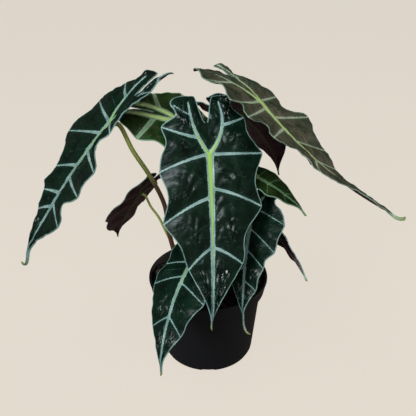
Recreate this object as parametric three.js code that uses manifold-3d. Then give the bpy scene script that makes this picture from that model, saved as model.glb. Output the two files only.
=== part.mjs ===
// A potted alocasia: ten arrow-shaped blades on their stalks, a crown, potting mix and a nursery pot.
// Millimetres, +Z up. The origin is the centre of the pot's underside.
import * as THREE from 'three';
import { mergeVertices } from 'three/addons/utils/BufferGeometryUtils.js';
import Module from 'manifold-3d';

const wasm = await Module();
wasm.setup();

// Driving dimensions
const gap = 0.3; // clearance between pieces that touch
const pot = {
  height: 89, rimRadius: 60, collarFoot: 57.4, shoulderRadius: 53.6, baseRadius: 47, cornerRadius: 4,
  collarHeight: 13.6, collarStep: 1.2, wall: 1.6, floor: 3.2, fillet: 1.5, lip: 2.4, bead: 1.8, ease: 0.5,
  notchCount: 6, notchWidth: 12.5, notchHeight: 2, notchReach: 11, notchBox: 15.4, drainRadius: 4,
  drainRing: 38.5, sides: 60, drainSides: 16, insideStep: 1, cornerSteps: 3, holeReach: 4,
};
const soil = { top: 76, lumps: 1.6, rings: 7, sides: 36, rimFall: 1, topEase: 0.1, seed: 7 };
const weldReach = 1e-4;
const crown = {
  x: -8, y: 3, radius: 15.4, foot: 66, shoulder: 80, top: 86, chamfer: 2, holeDepth: 5, sides: 24,
};
const stalk = {
  baseRadius: 2.7, neckRadius: 1.7, flare: 0.35, sides: 8, steps: 15, lean: 0.12, rise: 3,
  slimShare: 0.55, fullLength: 300, neckDrop: 0.09, neckBack: 0.02, thinning: 0.6,
};
const blade = {
  thickness: 0.8, ribHeight: 0.5, ribDepth: 1.5, ribHalfWidth: 1.5, ribShare: 0.6, ribLeft: 0.15,
  veinDepth: 0.45, puff: 1.3, wave: 1.6, smoothTo: 0.8, usualLength: 150, tipHalfWidth: 0.5,
  hookShare: 0.1, kickShare: 0.3, steps: 40, backSteps: 16, backReach: 0.45,
  columns: [0, 0.05, 0.35, 0.68, 1], tipRows: 2, fanShare: 0.9, seamEase: 0.01,
};
// Flat outline, as shares of the half width and of the lobe's length
const outline = {
  belly: 3.2, taper: 2.3, neck: 0.012, shoulder: 1.012, ribBend: 0.75, sinusShare: 0.5, dipRound: 1.3,
};
// The same for each leaf or half that names no value of its own: the lobe's form, where its rib ends (share
// of the half width, of the lobe's length), how it bows, the lobe's blunt end, the cleft, the veins' sweep
const usual = {
  lobeBelly: 2.4, lobeRound: 0.62, ribEnd: 0.38, ribReach: 0.9, bow: 0.13, cap: 0.38, sinusStraight: 0.55,
  sinusBend: 1, sweep: 1.2,
};

const rad = THREE.MathUtils.degToRad;
const lerp = THREE.MathUtils.lerp;

// Each blade: place and aim of its junction, size, bends along and across, the turns of its tip (kick and
// hook to the side, sag and rise up and down). For each half: where the lobe's vein starts on the lobe's
// rib, where the next veins start on the midrib, where all of them end along the edge (-1 is the lobe's end,
// 1 the tip), the edge's width at the dips and vein ends, by turns, as a share of the plain form, and extra
// bumps of the edge (place, spread, amount). Then the stalk: its root (ring, turn) and its path.
const plainHalf = {
  lobeStart: 0.5, starts: [0.2, 0.5], ends: [-0.62, 0.03, 0.32, 0.63],
  edge: [0.9, 1, 0.9, 1, 0.9, 1, 0.9, 1, 0.9],
};
const leaves = [
  {
    name: 'front', finish: 'upper', detail: 3, at: [1, -42, 236], heading: -83, dip: 61, roll: -11,
    length: 147, width: 43, lobe: 51, droop: 11, swing: 2, twist: -2, foldPlus: 4, foldMinus: 10, curl: -13,
    back: 22, sweep: 1.4,
    plus: {
      ribEnd: 0.33, ribReach: 0.86, cap: 0.21, lobeRound: 0.32, bow: 0.07, sinusBend: 0.4, lobeStart: 0.32,
      starts: [0.24, 0.52], ends: [-0.47, 0.09, 0.38, 0.64],
      edge: [0.72, 0.93, 0.83, 0.97, 0.85, 1.04, 0.84, 0.89, 0.92],
    },
    minus: {
      ribEnd: 0.27, ribReach: 0.86, cap: 0.19, lobeRound: 0.4, bow: 0.12, sinusBend: 0.8, lobeStart: 0.55,
      starts: [0.19, 0.52], ends: [-0.6, 0, 0.3, 0.62],
      edge: [0.66, 0.84, 0.8, 1.08, 0.87, 1.06, 0.77, 1.05, 1],
    },
    root: [10.8, -70], path: [[-5, -10, 140], [-1, -21, 195]],
  },
  {
    name: 'upper_left', finish: 'upper', detail: 3, at: [-84, -11, 253], heading: 208, dip: 44, roll: 3,
    length: 157, width: 45, lobe: 61, droop: 24, swing: 16, twist: 20, foldPlus: 4, foldMinus: 12, curl: -2,
    back: 20, kick: -28, hook: 150, thread: 12, neckDrop: 0.03,
    plus: {
      ribEnd: 0.34, ribReach: 0.84, cap: 0.25, lobeRound: 0.5, bow: 0.02, lobeStart: 0.5,
      starts: [0.08, 0.3, 0.49, 0.585], ends: [-0.6, -0.14, 0.22, 0.42, 0.58, 0.69],
      edge: [0.66, 0.92, 0.86, 1.13, 0.98, 1.2, 0.7, 0.8, 0.78, 0.9, 0.75, 0.92, 0.92],
      bumps: [[0.14, 0.07, 0.12], [0.36, 0.04, 0.06], [0.53, 0.04, 0.07]],
    },
    minus: {
      cap: 0.38, bow: 0.04, lobe: 66, lobeStart: 0.55, starts: [0.2, 0.38, 0.56],
      ends: [-0.6, 0.04, 0.22, 0.37, 0.58],
      edge: [0.6, 0.62, 0.6, 0.44, 0.46, 1.04, 1.08, 1, 0.76, 1.12, 0.98],
    },
    root: [10.8, 170],
    path: [[-31, 5, 104], [-38, 5, 130], [-41.7, 1.5, 167], [-53, -7, 201], [-66.6, -9, 226.6]],
  },
  {
    name: 'upper_right', finish: 'grey', detail: 3, at: [45, 4, 267], heading: -30, dip: 43, roll: -5,
    length: 158, width: 50, lobe: 61, droop: -29, swing: 26, twist: 24, foldPlus: -4, foldMinus: -5,
    curl: 22, back: 44, bow: 0, kick: 14, hook: -60, sag: 10, rise: -75, thread: 1,
    plus: {
      lobeStart: 0.5, starts: [0.05, 0.2, 0.45], ends: [-0.62, -0.17, 0.06, 0.26, 0.56],
      edge: [0.97, 1.02, 1, 1.08, 0.91, 0.98, 0.74, 1.16, 0.93, 0.97, 0.9], bumps: [[0.86, 0.05, 1]],
    },
    minus: {
      ribEnd: 0.27, ribReach: 0.94, cap: 0.3, lobeRound: 1.2, bow: -0.11, lobe: 59, lobeStart: 0.5,
      starts: [0.12, 0.3, 0.46], ends: [-0.65, 0.02, 0.2, 0.4, 0.52],
      edge: [0.7, 0.42, 0.36, 0.68, 0.62, 1.16, 0.92, 0.99, 0.83, 0.85, 1], bumps: [[0.86, 0.05, 0.45]],
    },
    root: [10.8, 15], path: [[9, 2, 130], [20, -5, 195], [29, -10, 242]],
  },
  {
    name: 'back_left', finish: 'upper', detail: 3, at: [-25, 20, 242], heading: 26, dip: 35, roll: 57,
    length: 114, width: 37, lobe: 45, droop: 48, swing: 8, twist: 0, foldPlus: 11, foldMinus: -14,
    curl: -11, back: 58, sinusBend: 2.5,
    plus: {
      ...plainHalf, ribEnd: 0.12, ribReach: 0.88, cap: 0.2, bow: 0.06, lobe: 52,
      edge: [0.86, 0.97, 0.8, 1, 0.9, 1, 0.9, 1, 0.9],
    },
    minus: {
      ...plainHalf, ribEnd: 0.15, ribReach: 0.9, cap: 0.15, bow: 0.04,
      edge: [0.92, 0.77, 0.8, 1.05, 0.9, 1, 0.9, 1, 0.9],
    },
    root: [10.8, 115], path: [[-16, 18, 130], [-26, 24, 195]],
  },
  {
    name: 'back_right', finish: 'under', detail: 3, at: [18.4, 30, 250], heading: 36, dip: 24, roll: -16,
    length: 112, width: 36, lobe: 38, droop: 50, swing: -13, twist: 3, foldPlus: 15, foldMinus: 7, curl: -3,
    back: -3,
    plus: { ...plainHalf, edge: [0.9, 1, 0.9, 1, 0.85, 0.85, 0.8, 0.97, 1.12] },
    minus: plainHalf,
    root: [10.8, 65], path: [[0, 16, 130], [9, 21, 195]],
  },
  {
    name: 'small_right', finish: 'upper', detail: 2, at: [42.4, -29, 209.2], heading: -30, dip: 15, roll: 9,
    length: 53.5, width: 16.2, lobe: 19.2, droop: 26, swing: 0, twist: 15, foldPlus: 8, foldMinus: 8,
    curl: -9, back: 12,
    plus: { ...plainHalf, edge: [0.9, 0.85, 0.75, 0.9, 0.9, 1, 0.9, 1, 0.9] },
    minus: { ...plainHalf, edge: [0.9, 1, 0.82, 1, 0.95, 0.94, 0.82, 0.88, 0.9] },
    root: [4, -60], path: [[2.5, -5, 112], [8, -16, 135], [17, -26, 175]],
  },
  {
    name: 'lower_right', finish: 'upper', detail: 3, at: [40, -29, 180], heading: -109, dip: 53, roll: 11,
    length: 105, width: 29, lobe: 30, droop: 15, swing: -6, twist: -8, foldPlus: 0, foldMinus: 13,
    curl: -10, back: 12, hook: -105, thread: 11,
    plus: { ...plainHalf, edge: [0.9, 1, 0.9, 1, 0.9, 1, 0.9, 0.97, 0.8] },
    minus: {
      lobeStart: 0.5, starts: [0.18, 0.36, 0.62], ends: [-0.54, 0.12, 0.36, 0.5, 0.69],
      edge: [0.9, 0.98, 0.72, 1.14, 1.06, 1.04, 0.86, 0.84, 0.86, 1, 0.86],
    },
    root: [10.8, -30], path: [[9, -7, 112], [27, -12, 150]],
  },
  {
    name: 'lower_left', finish: 'upper', detail: 3, at: [-15, -56, 140], heading: -123, dip: 32, roll: 12,
    length: 102, width: 30, lobe: 35, droop: 40, swing: -3, twist: 0, foldPlus: 3, foldMinus: 1, curl: -10,
    back: 14,
    plus: {
      lobeStart: 0.5, starts: [0.14, 0.5], ends: [-0.55, 0.07, 0.27, 0.62],
      edge: [0.9, 1, 0.93, 0.9, 0.98, 1.05, 0.86, 0.97, 0.82],
    },
    minus: { ...plainHalf, edge: [0.9, 1, 0.9, 1, 0.9, 1.05, 0.92, 1, 0.94] },
    root: [10.8, -120], path: [[-17, -13, 110], [-17, -31, 132]],
  },
  {
    name: 'small_left', finish: 'under', detail: 2, at: [-66, 19, 171.2], heading: 156, dip: 52, roll: 4,
    length: 88, width: 28.6, lobe: 32.8, droop: 7, swing: 26, twist: -9, foldPlus: 3, foldMinus: 10,
    curl: -6, back: 5, neckDrop: 0.02, backSwing: -32,
    plus: {
      ...plainHalf, ribEnd: 0.16, ribReach: 0.86, cap: 0.1, lobeRound: 0.4, lobe: 30,
      edge: [0.9, 1, 0.87, 1, 1.08, 0.86, 0.86, 1.02, 0.92],
    },
    minus: { ...plainHalf, lobe: 30, edge: [0.86, 0.96, 0.9, 0.9, 1.02, 1.14, 0.9, 1.1, 0.9] },
    root: [4, 180], path: [[-28, 8.6, 106], [-38, 11.6, 121], [-49, 13, 147], [-56.5, 15, 158]],
  },
  {
    name: 'thin_right', finish: 'under', detail: 2, at: [51, 0, 159], heading: -52, dip: 27, roll: -63,
    length: 79, width: 23, lobe: 28, droop: 9, swing: 1, twist: -2, foldPlus: 13, foldMinus: 13, curl: -31,
    back: 12,
    plus: plainHalf,
    minus: { ...plainHalf, edge: [0.9, 1, 0.9, 1, 0.9, 1.06, 0.9, 1, 0.9] },
    root: [4, 60], path: [[4, 9, 112], [26, 7, 140]],
  },
];

// Colours of the finishes
const finishes = {
  upper: { color: 0x12301f, roughness: 0.35, metalness: 0 },
  grey: { color: 0x4a4d3c, roughness: 0.4, metalness: 0 },
  under: { color: 0x2b1a1d, roughness: 0.5, metalness: 0 },
  stalk: { color: 0x54602c, roughness: 0.5, metalness: 0 },
  crown: { color: 0x2a1f18, roughness: 0.8, metalness: 0 },
  soil: { color: 0x3a2a1f, roughness: 0.95, metalness: 0 },
  pot: { color: 0x161518, roughness: 0.55, metalness: 0 },
};
const group = new THREE.Group();

function addPiece(name, geometry, finish) {
  const mesh = new THREE.Mesh(geometry, new THREE.MeshStandardMaterial(finishes[finish]));
  mesh.name = name;
  group.add(mesh);
}

// Joining and cutting
function solidOf(geometry) {
  const bare = geometry.clone();
  bare.deleteAttribute('normal');
  bare.deleteAttribute('uv');
  const merged = mergeVertices(bare, weldReach);
  return new wasm.Manifold(new wasm.Mesh({
    numProp: 3,
    vertProperties: new Float32Array(merged.attributes.position.array),
    triVerts: new Uint32Array(merged.index.array),
  }));
}

function geometryOf(solid) {
  const mesh = solid.getMesh();
  const geometry = new THREE.BufferGeometry();
  geometry.setAttribute('position', new THREE.BufferAttribute(new Float32Array(mesh.vertProperties), 3));
  geometry.setIndex(new THREE.BufferAttribute(new Uint32Array(mesh.triVerts), 1));
  return geometry;
}

function closedMesh(positions, index) {
  const geometry = new THREE.BufferGeometry();
  geometry.setAttribute('position', new THREE.Float32BufferAttribute(positions, 3));
  geometry.setIndex(index);
  return geometry;
}

function latheOf(profile, sides) {
  const points = profile.map(([r, z]) => new THREE.Vector2(r, z));
  return new THREE.LatheGeometry(points, sides).rotateX(Math.PI / 2);
}

// A seeded draw from 0 to 1, the same each time
const draws = { factor: 1664525, step: 1013904223, span: 2 ** 32 };

function drawFrom(seed) {
  let state = seed;
  return () => {
    state = (state * draws.factor + draws.step) % draws.span;
    return state / draws.span;
  };
}

const setting = (leaf, half, key) => half[key] ?? leaf[key] ?? usual[key];
const lobeLength = (leaf, half) => half.lobe ?? leaf.lobe;

// Half width of the blade at x, from 0 at the junction to 1 at the tip or at the lobe's end
const mainWidth = (x) => (1 - x ** outline.belly) ** outline.taper + outline.neck * (1 - x);

function lobeWidth(leaf, half, x) {
  const swell = (1 - x ** setting(leaf, half, 'lobeBelly')) ** setting(leaf, half, 'lobeRound');
  return lerp(setting(leaf, half, 'cap'), outline.shoulder, swell);
}

function edgeFactor(x, half) {
  const ends = [-1, ...half.ends, 1];
  const widths = [1, ...half.edge.filter((w, i) => i % 2 === 1), 1];
  const dips = half.edge.filter((w, i) => i % 2 === 0);
  let k = 0;
  while (k < ends.length - 2 && x >= ends[k + 1]) k += 1;
  const t = THREE.MathUtils.clamp((x - ends[k]) / (ends[k + 1] - ends[k]), 0, 1);
  const middle = (widths[k] + widths[k + 1]) / 2;
  const wave = (dips[k] - middle) * Math.sin(Math.PI * t) ** outline.dipRound;
  let factor = lerp(widths[k], widths[k + 1], t) + wave;
  for (const [place, spread, amount] of half.bumps ?? []) {
    factor += amount * Math.exp(-(((x - place) / spread) ** 2));
  }
  return factor;
}

// Flat point on the edge, [along, across], in millimetres
function edgePoint(leaf, half, x) {
  const plain = x >= 0 ? mainWidth(x) : lobeWidth(leaf, half, -x);
  const across = Math.max(plain * edgeFactor(x, half) * leaf.width, x < 1 ? blade.tipHalfWidth : 0);
  return [x * (x >= 0 ? leaf.length : lobeLength(leaf, half)), across];
}

function lobeRibPoint(leaf, half, place) {
  const bow = setting(leaf, half, 'bow') * Math.sin(Math.PI * place);
  const across = setting(leaf, half, 'ribEnd') * place ** outline.ribBend + bow;
  return [-place * setting(leaf, half, 'ribReach') * lobeLength(leaf, half), across * leaf.width];
}

// Flat point on the edge of the cleft between the lobes; up to sinusShare the halves are joined
function sinusPoint(leaf, half, inner) {
  const share = outline.sinusShare;
  const t = Math.max(0, (inner - share) / (1 - share));
  const round = 1 - Math.sqrt(Math.max(0, 1 - t ** 4));
  const bend = lerp(round, t, setting(leaf, half, 'sinusStraight')) ** setting(leaf, half, 'sinusBend');
  const along = Math.min(inner, share) * leaf.lobe + t * (lobeLength(leaf, half) - share * leaf.lobe);
  return [-along, setting(leaf, half, 'cap') * bend * leaf.width];
}

// Rows run from a rib to the edge, along the veins and between them
function mainRows(leaf, half) {
  const starts = [0, ...half.starts, 1];
  const ends = [...half.ends.slice(1), 1];
  const rows = [];
  for (let k = 0; k < ends.length - 1; k += 1) {
    const last = k === ends.length - 2;
    const count = last ? leaf.detail + blade.tipRows : leaf.detail;
    for (let i = 0; i < count; i += 1) {
      const t = i / count;
      const end = edgePoint(leaf, half, lerp(ends[k], ends[k + 1], t));
      rows.push({ from: [lerp(starts[k], starts[k + 1], t) * leaf.length, 0], to: end, phase: t });
    }
  }
  rows.push({ from: [leaf.length, 0], to: [leaf.length, 0], phase: 0 });
  return rows;
}

function lobeRows(leaf, half) {
  const edgeEnds = [half.ends[1], half.ends[0], -1];
  const ribEnds = [0, half.lobeStart, 1];
  const innerEnds = [0, outline.sinusShare, 1];
  const rowAt = (k, t, place) => ({
    from: lobeRibPoint(leaf, half, place),
    to: edgePoint(leaf, half, lerp(edgeEnds[k], edgeEnds[k + 1], k === 1 ? Math.sin((t * Math.PI) / 2) : t)),
    inner: sinusPoint(leaf, half, lerp(innerEnds[k], innerEnds[k + 1], t)),
    phase: t,
    innerRelief: THREE.MathUtils.smoothstep(place, 0, blade.smoothTo),
  });
  const rows = [];
  for (let k = 0; k < 2; k += 1) {
    const count = leaf.detail + k;
    for (let i = 0; i < count; i += 1) {
      const t = i / count;
      rows.push(rowAt(k, t, lerp(ribEnds[k], ribEnds[k + 1], t)));
    }
  }
  // Two rows fan out from the rib's end: one close to the lobe's end, and the one that both patches share
  rows.push(rowAt(1, blade.fanShare, 1));
  const end = sinusPoint(leaf, half, 1);
  rows.push({ from: lobeRibPoint(leaf, half, 1), to: end, inner: end, phase: 0, innerRelief: 1 });
  return rows;
}

// Height of the top face over the blade's plain sheet, and the blade's depth below it
function ribRelief(taper) {
  const height = blade.ribHeight * taper;
  return { height, depth: height + blade.thickness + blade.ribDepth * taper };
}

function panelRelief(leaf, share, phase, fade) {
  const onVein = phase === 0;
  const dome = Math.sin(Math.PI * phase) * Math.sin(Math.PI * share);
  const wave = -(share ** 2) * Math.cos(2 * Math.PI * phase);
  const height = (fade * (blade.puff * dome + blade.wave * wave) * leaf.length) / blade.usualLength;
  return { height, depth: blade.thickness + (onVein ? blade.veinDepth * (1 - share) : 0) };
}

// The flat sheet of a blade: points with their relief, and triangles that face up
function flatSheet(leaf) {
  const points = [];
  const seen = new Map();
  const triangles = [];
  const pointAt = (along, across, form) => {
    const key = `${along.toFixed(3)} ${across.toFixed(3)}`;
    if (!seen.has(key)) {
      seen.set(key, points.length);
      points.push({ along, across, ...form });
    }
    return seen.get(key);
  };
  // Twice the flat area of a triangle, with the sign of its turning sense
  const turnOf = ([a, b, c]) => {
    const [p, q, r] = [points[a], points[b], points[c]];
    return (q.along - p.along) * (r.across - p.across) - (q.across - p.across) * (r.along - p.along);
  };
  // Splits four corners along the diagonal that keeps both triangles turning alike
  const splitQuad = (a, b, c, d) => {
    const ways = [[[a, b, c], [a, c, d]], [[a, b, d], [b, c, d]]];
    const sense = Math.sign(turnOf(ways[0][0]) + turnOf(ways[0][1]));
    const worst = ways.map((pair) => Math.min(...pair.map((triangle) => sense * turnOf(triangle))));
    return ways[worst[0] >= worst[1] ? 0 : 1];
  };
  // A strip of rows from a rib to the edge or to the cleft; seam lists the midrib places of both halves
  const addPatch = (rows, target, half, side, taperOf, seam = []) => {
    const shares = blade.columns;
    const sweep = setting(leaf, half, 'sweep');
    const grid = rows.map((row) => {
      const [from, to] = [row.from, row[target]];
      const reach = Math.max(Math.hypot(to[0] - from[0], to[1] - from[1]), blade.tipHalfWidth);
      const first = Math.min(blade.ribHalfWidth / reach, blade.ribShare * shares[2]);
      const fade = target === 'inner' ? row.innerRelief : 1;
      return shares.map((plainShare, j) => {
        const share = j === 1 ? first : plainShare;
        const form = j === 0 ? ribRelief(taperOf(from)) : panelRelief(leaf, share, row.phase, fade);
        return pointAt(lerp(from[0], to[0], share ** sweep), lerp(from[1], to[1], share) * side, form);
      });
    });
    const patch = [];
    for (let i = 0; i < grid.length - 1; i += 1) {
      for (let j = 1; j < shares.length - 1; j += 1) {
        patch.push(...splitQuad(grid[i][j], grid[i][j + 1], grid[i + 1][j + 1], grid[i + 1][j]));
      }
      patch.push([grid[i][1], grid[i + 1][1], grid[i + 1][0]]);
      const [low, high] = [rows[i].from[0] + blade.seamEase, rows[i + 1].from[0] - blade.seamEase];
      const between = seam.filter((along) => along > low && along < high)
        .map((along) => pointAt(along, 0, ribRelief(taperOf([along]))));
      const chain = [grid[i][0], ...between, grid[i + 1][0]];
      for (let k = 0; k < chain.length - 1; k += 1) patch.push([chain[k], grid[i][1], chain[k + 1]]);
    }
    const faceUp = patch.reduce((sum, triangle) => sum + turnOf(triangle), 0) < 0;
    for (const [a, b, c] of patch) {
      const whole = a !== b && b !== c && a !== c;
      if (whole) triangles.push(faceUp ? [a, b, c] : [a, c, b]);
    }
  };
  const midTaper = ([along]) => lerp(1, blade.ribLeft, along / leaf.length);
  const mains = [leaf.plus, leaf.minus].map((half) => mainRows(leaf, half));
  const seam = mains.flat().map((row) => Number(row.from[0].toFixed(3))).sort((a, b) => a - b);
  for (const [side, half, main] of [[1, leaf.plus, mains[0]], [-1, leaf.minus, mains[1]]]) {
    const lobe = lobeRows(leaf, half);
    const lobeTaper = ([along]) => lerp(1, blade.ribLeft, -along / lobeLength(leaf, half));
    addPatch(main, 'to', half, side, midTaper, seam);
    addPatch(lobe, 'to', half, side, lobeTaper);
    addPatch(lobe, 'inner', half, side, lobeTaper);
  }
  return { points, triangles };
}

// The frame at the junction: along the blade, to its side, and out of its upper face
function junctionOf(leaf) {
  const [heading, dip, roll] = [rad(leaf.heading), rad(leaf.dip), rad(leaf.roll)];
  const flat = Math.cos(dip);
  const along = new THREE.Vector3(Math.cos(heading) * flat, Math.sin(heading) * flat, -Math.sin(dip));
  const level = new THREE.Vector3(0, 0, 1).addScaledVector(along, Math.sin(dip)).normalize();
  const side = new THREE.Vector3().crossVectors(along, level);
  const normal = level.clone().multiplyScalar(Math.cos(roll)).addScaledVector(side, Math.sin(roll));
  const right = new THREE.Vector3().crossVectors(along, normal);
  return { place: new THREE.Vector3(...leaf.at), along, right, normal };
}

// Turn of a blade's tip at u, its share from 0 to 1: a first kick one way, then the hook the other way
function tipTurn(u, kick = 0, hook = 0) {
  const late = Math.max(0, (u - blade.kickShare) / (1 - blade.kickShare));
  return rad(kick * Math.min(1, u / blade.kickShare) + hook * late ** 2);
}

// Places and frames along the blade's axis, from behind the lobes to the tip
function axisOf(leaf) {
  const junction = junctionOf(leaf);
  const turnX = (angle) => new THREE.Matrix4().makeRotationX(angle);
  const turnY = (angle) => new THREE.Matrix4().makeRotationY(angle);
  const turnZ = (angle) => new THREE.Matrix4().makeRotationZ(angle);
  const walk = (count, reach, turns, tip = {}) => {
    const frame = new THREE.Matrix4().makeBasis(junction.along, junction.right, junction.normal);
    const place = junction.place.clone();
    const stations = [{ s: 0, place: place.clone(), frame: frame.clone() }];
    const tipShare = (i) => Math.max(0, 1 - (count - i) / (count * blade.hookShare));
    for (let i = 1; i <= count; i += 1) {
      const before = new THREE.Vector3().setFromMatrixColumn(frame, 0);
      const [last, now] = [tipShare(i - 1), tipShare(i)];
      frame.multiply(turnY(rad(turns[0]) / count)).multiply(turnZ(rad(turns[1]) / count));
      frame.multiply(turnX(rad(turns[2]) / count));
      frame.multiply(turnZ(tipTurn(now, tip.kick, tip.hook) - tipTurn(last, tip.kick, tip.hook)));
      frame.multiply(turnY(tipTurn(now, tip.sag, tip.rise) - tipTurn(last, tip.sag, tip.rise)));
      const after = new THREE.Vector3().setFromMatrixColumn(frame, 0);
      const step = (reach + (now > 0 ? (tip.thread ?? 0) / blade.hookShare : 0)) / count;
      place.addScaledVector(before.add(after).normalize(), step);
      stations.push({ s: (reach * i) / count, place: place.clone(), frame: frame.clone() });
    }
    return stations;
  };
  const forward = walk(blade.steps, leaf.length, [leaf.droop, leaf.swing, leaf.twist], leaf);
  const backTurns = [-leaf.back, leaf.backSwing ?? 0, 0];
  const backward = walk(blade.backSteps, -blade.backReach * leaf.length, backTurns);
  return [...backward.slice(1).reverse(), ...forward];
}

// Bends the flat sheet along the axis, with its V fold and curl, and returns the place of a point
function bender(leaf) {
  const axis = axisOf(leaf);
  const column = (station, k) => new THREE.Vector3().setFromMatrixColumn(station.frame, k);
  return (along, across, height) => {
    let k = 0;
    while (k < axis.length - 2 && along > axis[k + 1].s) k += 1;
    const t = (along - axis[k].s) / (axis[k + 1].s - axis[k].s);
    const place = axis[k].place.clone().lerp(axis[k + 1].place, t);
    const right = column(axis[k], 1).lerp(column(axis[k + 1], 1), t).normalize();
    const normal = column(axis[k], 2).lerp(column(axis[k + 1], 2), t).normalize();
    const fold = rad(across > 0 ? leaf.foldPlus : leaf.foldMinus);
    const curl = rad(leaf.curl) / leaf.width;
    const angle = fold + curl * Math.abs(across);
    const out = (Math.sin(angle) - Math.sin(fold)) / curl;
    const up = (Math.cos(fold) - Math.cos(angle)) / curl;
    const tilt = across === 0 ? 0 : angle;
    return place
      .addScaledVector(right, Math.sign(across) * (out - height * Math.sin(tilt)))
      .addScaledVector(normal, up + height * Math.cos(tilt));
  };
}

// A closed blade: top sheet, underside split alike, and the cut edge between them
function bladeGeometry(leaf) {
  const { points, triangles } = flatSheet(leaf);
  const bend = bender(leaf);
  const count = points.length;
  const positions = [];
  for (const p of points) positions.push(...bend(p.along, p.across, p.height).toArray());
  for (const p of points) positions.push(...bend(p.along, p.across, p.height - p.depth).toArray());
  const index = [];
  const edges = new Set();
  for (const [a, b, c] of triangles) {
    index.push(a, b, c, a + count, c + count, b + count);
    for (const [from, to] of [[a, b], [b, c], [c, a]]) edges.add(`${from} ${to}`);
  }
  for (const edge of edges) {
    const [a, b] = edge.split(' ').map(Number);
    if (!edges.has(`${b} ${a}`)) index.push(b, a, a + count, b, a + count, b + count);
  }
  return closedMesh(positions, index);
}

// A stalk's middle line, from the crown to just under the blade's junction
function stalkCurve(leaf) {
  const [ring, turn] = leaf.root;
  const outward = new THREE.Vector3(Math.cos(rad(turn)), Math.sin(rad(turn)), 0);
  const middle = new THREE.Vector3(crown.x, crown.y, crown.top - crown.holeDepth);
  const foot = middle.addScaledVector(outward, ring);
  const neck = foot.clone().addScaledVector(outward, stalk.lean * ring).setZ(crown.top + stalk.rise);
  const { place, along, normal } = junctionOf(leaf);
  const sag = stalk.baseRadius * Math.sin(rad(Math.max(0, -leaf.foldPlus, -leaf.foldMinus)));
  const end = place.clone().addScaledVector(normal, -(blade.thickness + blade.ribDepth + gap + sag));
  const before = end.clone().addScaledVector(normal, -(leaf.neckDrop ?? stalk.neckDrop) * leaf.length)
    .addScaledVector(along, -stalk.neckBack * leaf.length);
  const path = leaf.path.map((point) => new THREE.Vector3(...point));
  return new THREE.CatmullRomCurve3([foot, neck, ...path, before, end], false, 'centripetal');
}

// A tapering tube round that line, level at the foot and square to the blade at the top
function stalkGeometry(leaf, extra = 0) {
  const curve = stalkCurve(leaf);
  const frames = curve.computeFrenetFrames(stalk.steps, false);
  const caps = [[0, new THREE.Vector3(0, 0, 1)], [stalk.steps, junctionOf(leaf).normal]];
  for (const [i, normal] of caps) {
    const [u, v] = [frames.normals[i], frames.binormals[i]];
    u.addScaledVector(normal, -u.dot(normal)).normalize();
    const square = new THREE.Vector3().crossVectors(normal, u);
    v.copy(square.multiplyScalar(Math.sign(v.dot(square))));
  }
  const size = Math.min(1, stalk.slimShare + leaf.length / stalk.fullLength);
  const n = stalk.sides;
  const positions = [];
  const index = [];
  for (let i = 0; i <= stalk.steps; i += 1) {
    const t = i / stalk.steps;
    const middle = curve.getPointAt(t);
    const flare = t === 1 ? stalk.flare : 0;
    const plain = lerp(stalk.baseRadius, stalk.neckRadius, t ** stalk.thinning) + flare;
    for (let k = 0; k < n; k += 1) {
      const angle = (2 * Math.PI * k) / n;
      const radius = plain * size + extra;
      const point = middle.clone().addScaledVector(frames.normals[i], radius * Math.cos(angle))
        .addScaledVector(frames.binormals[i], radius * Math.sin(angle));
      positions.push(point.x, point.y, point.z);
      const [low, next] = [i * n + k, i * n + ((k + 1) % n)];
      if (i < stalk.steps) index.push(low, next, next + n, low, next + n, low + n);
    }
  }
  const top = stalk.steps * n;
  for (let k = 1; k < n - 1; k += 1) index.push(0, k + 1, k, top, top + k, top + k + 1);
  return closedMesh(positions, index);
}

// The pot: a thin-walled tapered cup with a wider collar, foot notches and drain holes
const shoulder = pot.height - pot.collarHeight;
const collarInside = pot.collarFoot - pot.wall - gap;
const shoulderInside = pot.shoulderRadius - pot.wall;
const baseInside = pot.baseRadius - pot.wall;
const drainLength = pot.floor * pot.holeReach;

function potProfile() {
  const { height, rimRadius, lip, ease, bead, cornerRadius: r, fillet } = pot;
  const profile = [[0, 0]];
  for (let i = 0; i <= pot.cornerSteps; i += 1) {
    const angle = (i / pot.cornerSteps) * (Math.PI / 2);
    profile.push([pot.baseRadius - r * (1 - Math.sin(angle)), r * (1 - Math.cos(angle))]);
  }
  profile.push([pot.shoulderRadius, shoulder - pot.collarStep], [pot.collarFoot - ease, shoulder]);
  profile.push([pot.collarFoot, shoulder + ease], [rimRadius - ease, height - bead - ease]);
  profile.push([rimRadius, height - bead], [rimRadius, height - ease], [rimRadius - ease, height]);
  profile.push([rimRadius - lip + ease, height], [rimRadius - lip, height - ease]);
  profile.push([collarInside, shoulder + fillet], [shoulderInside, shoulder - pot.insideStep]);
  profile.push([baseInside, pot.floor + fillet], [baseInside - fillet, pot.floor], [0, pot.floor]);
  return profile;
}

function potGeometry() {
  let solid = solidOf(latheOf(potProfile(), pot.sides));
  for (let i = 0; i < pot.notchCount; i += 1) {
    const turn = -Math.PI / 2 + (2 * Math.PI * i) / pot.notchCount;
    const notch = new THREE.BoxGeometry(pot.notchBox, pot.notchWidth, pot.notchHeight * 2)
      .translate(pot.baseRadius - pot.notchReach + pot.notchBox / 2, 0, 0).rotateZ(turn);
    const drain = new THREE.CylinderGeometry(pot.drainRadius, pot.drainRadius, drainLength, pot.drainSides)
      .rotateX(Math.PI / 2).translate(pot.drainRing, 0, pot.floor).rotateZ(turn);
    solid = solid.subtract(solidOf(notch)).subtract(solidOf(drain));
  }
  return geometryOf(solid);
}

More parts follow.
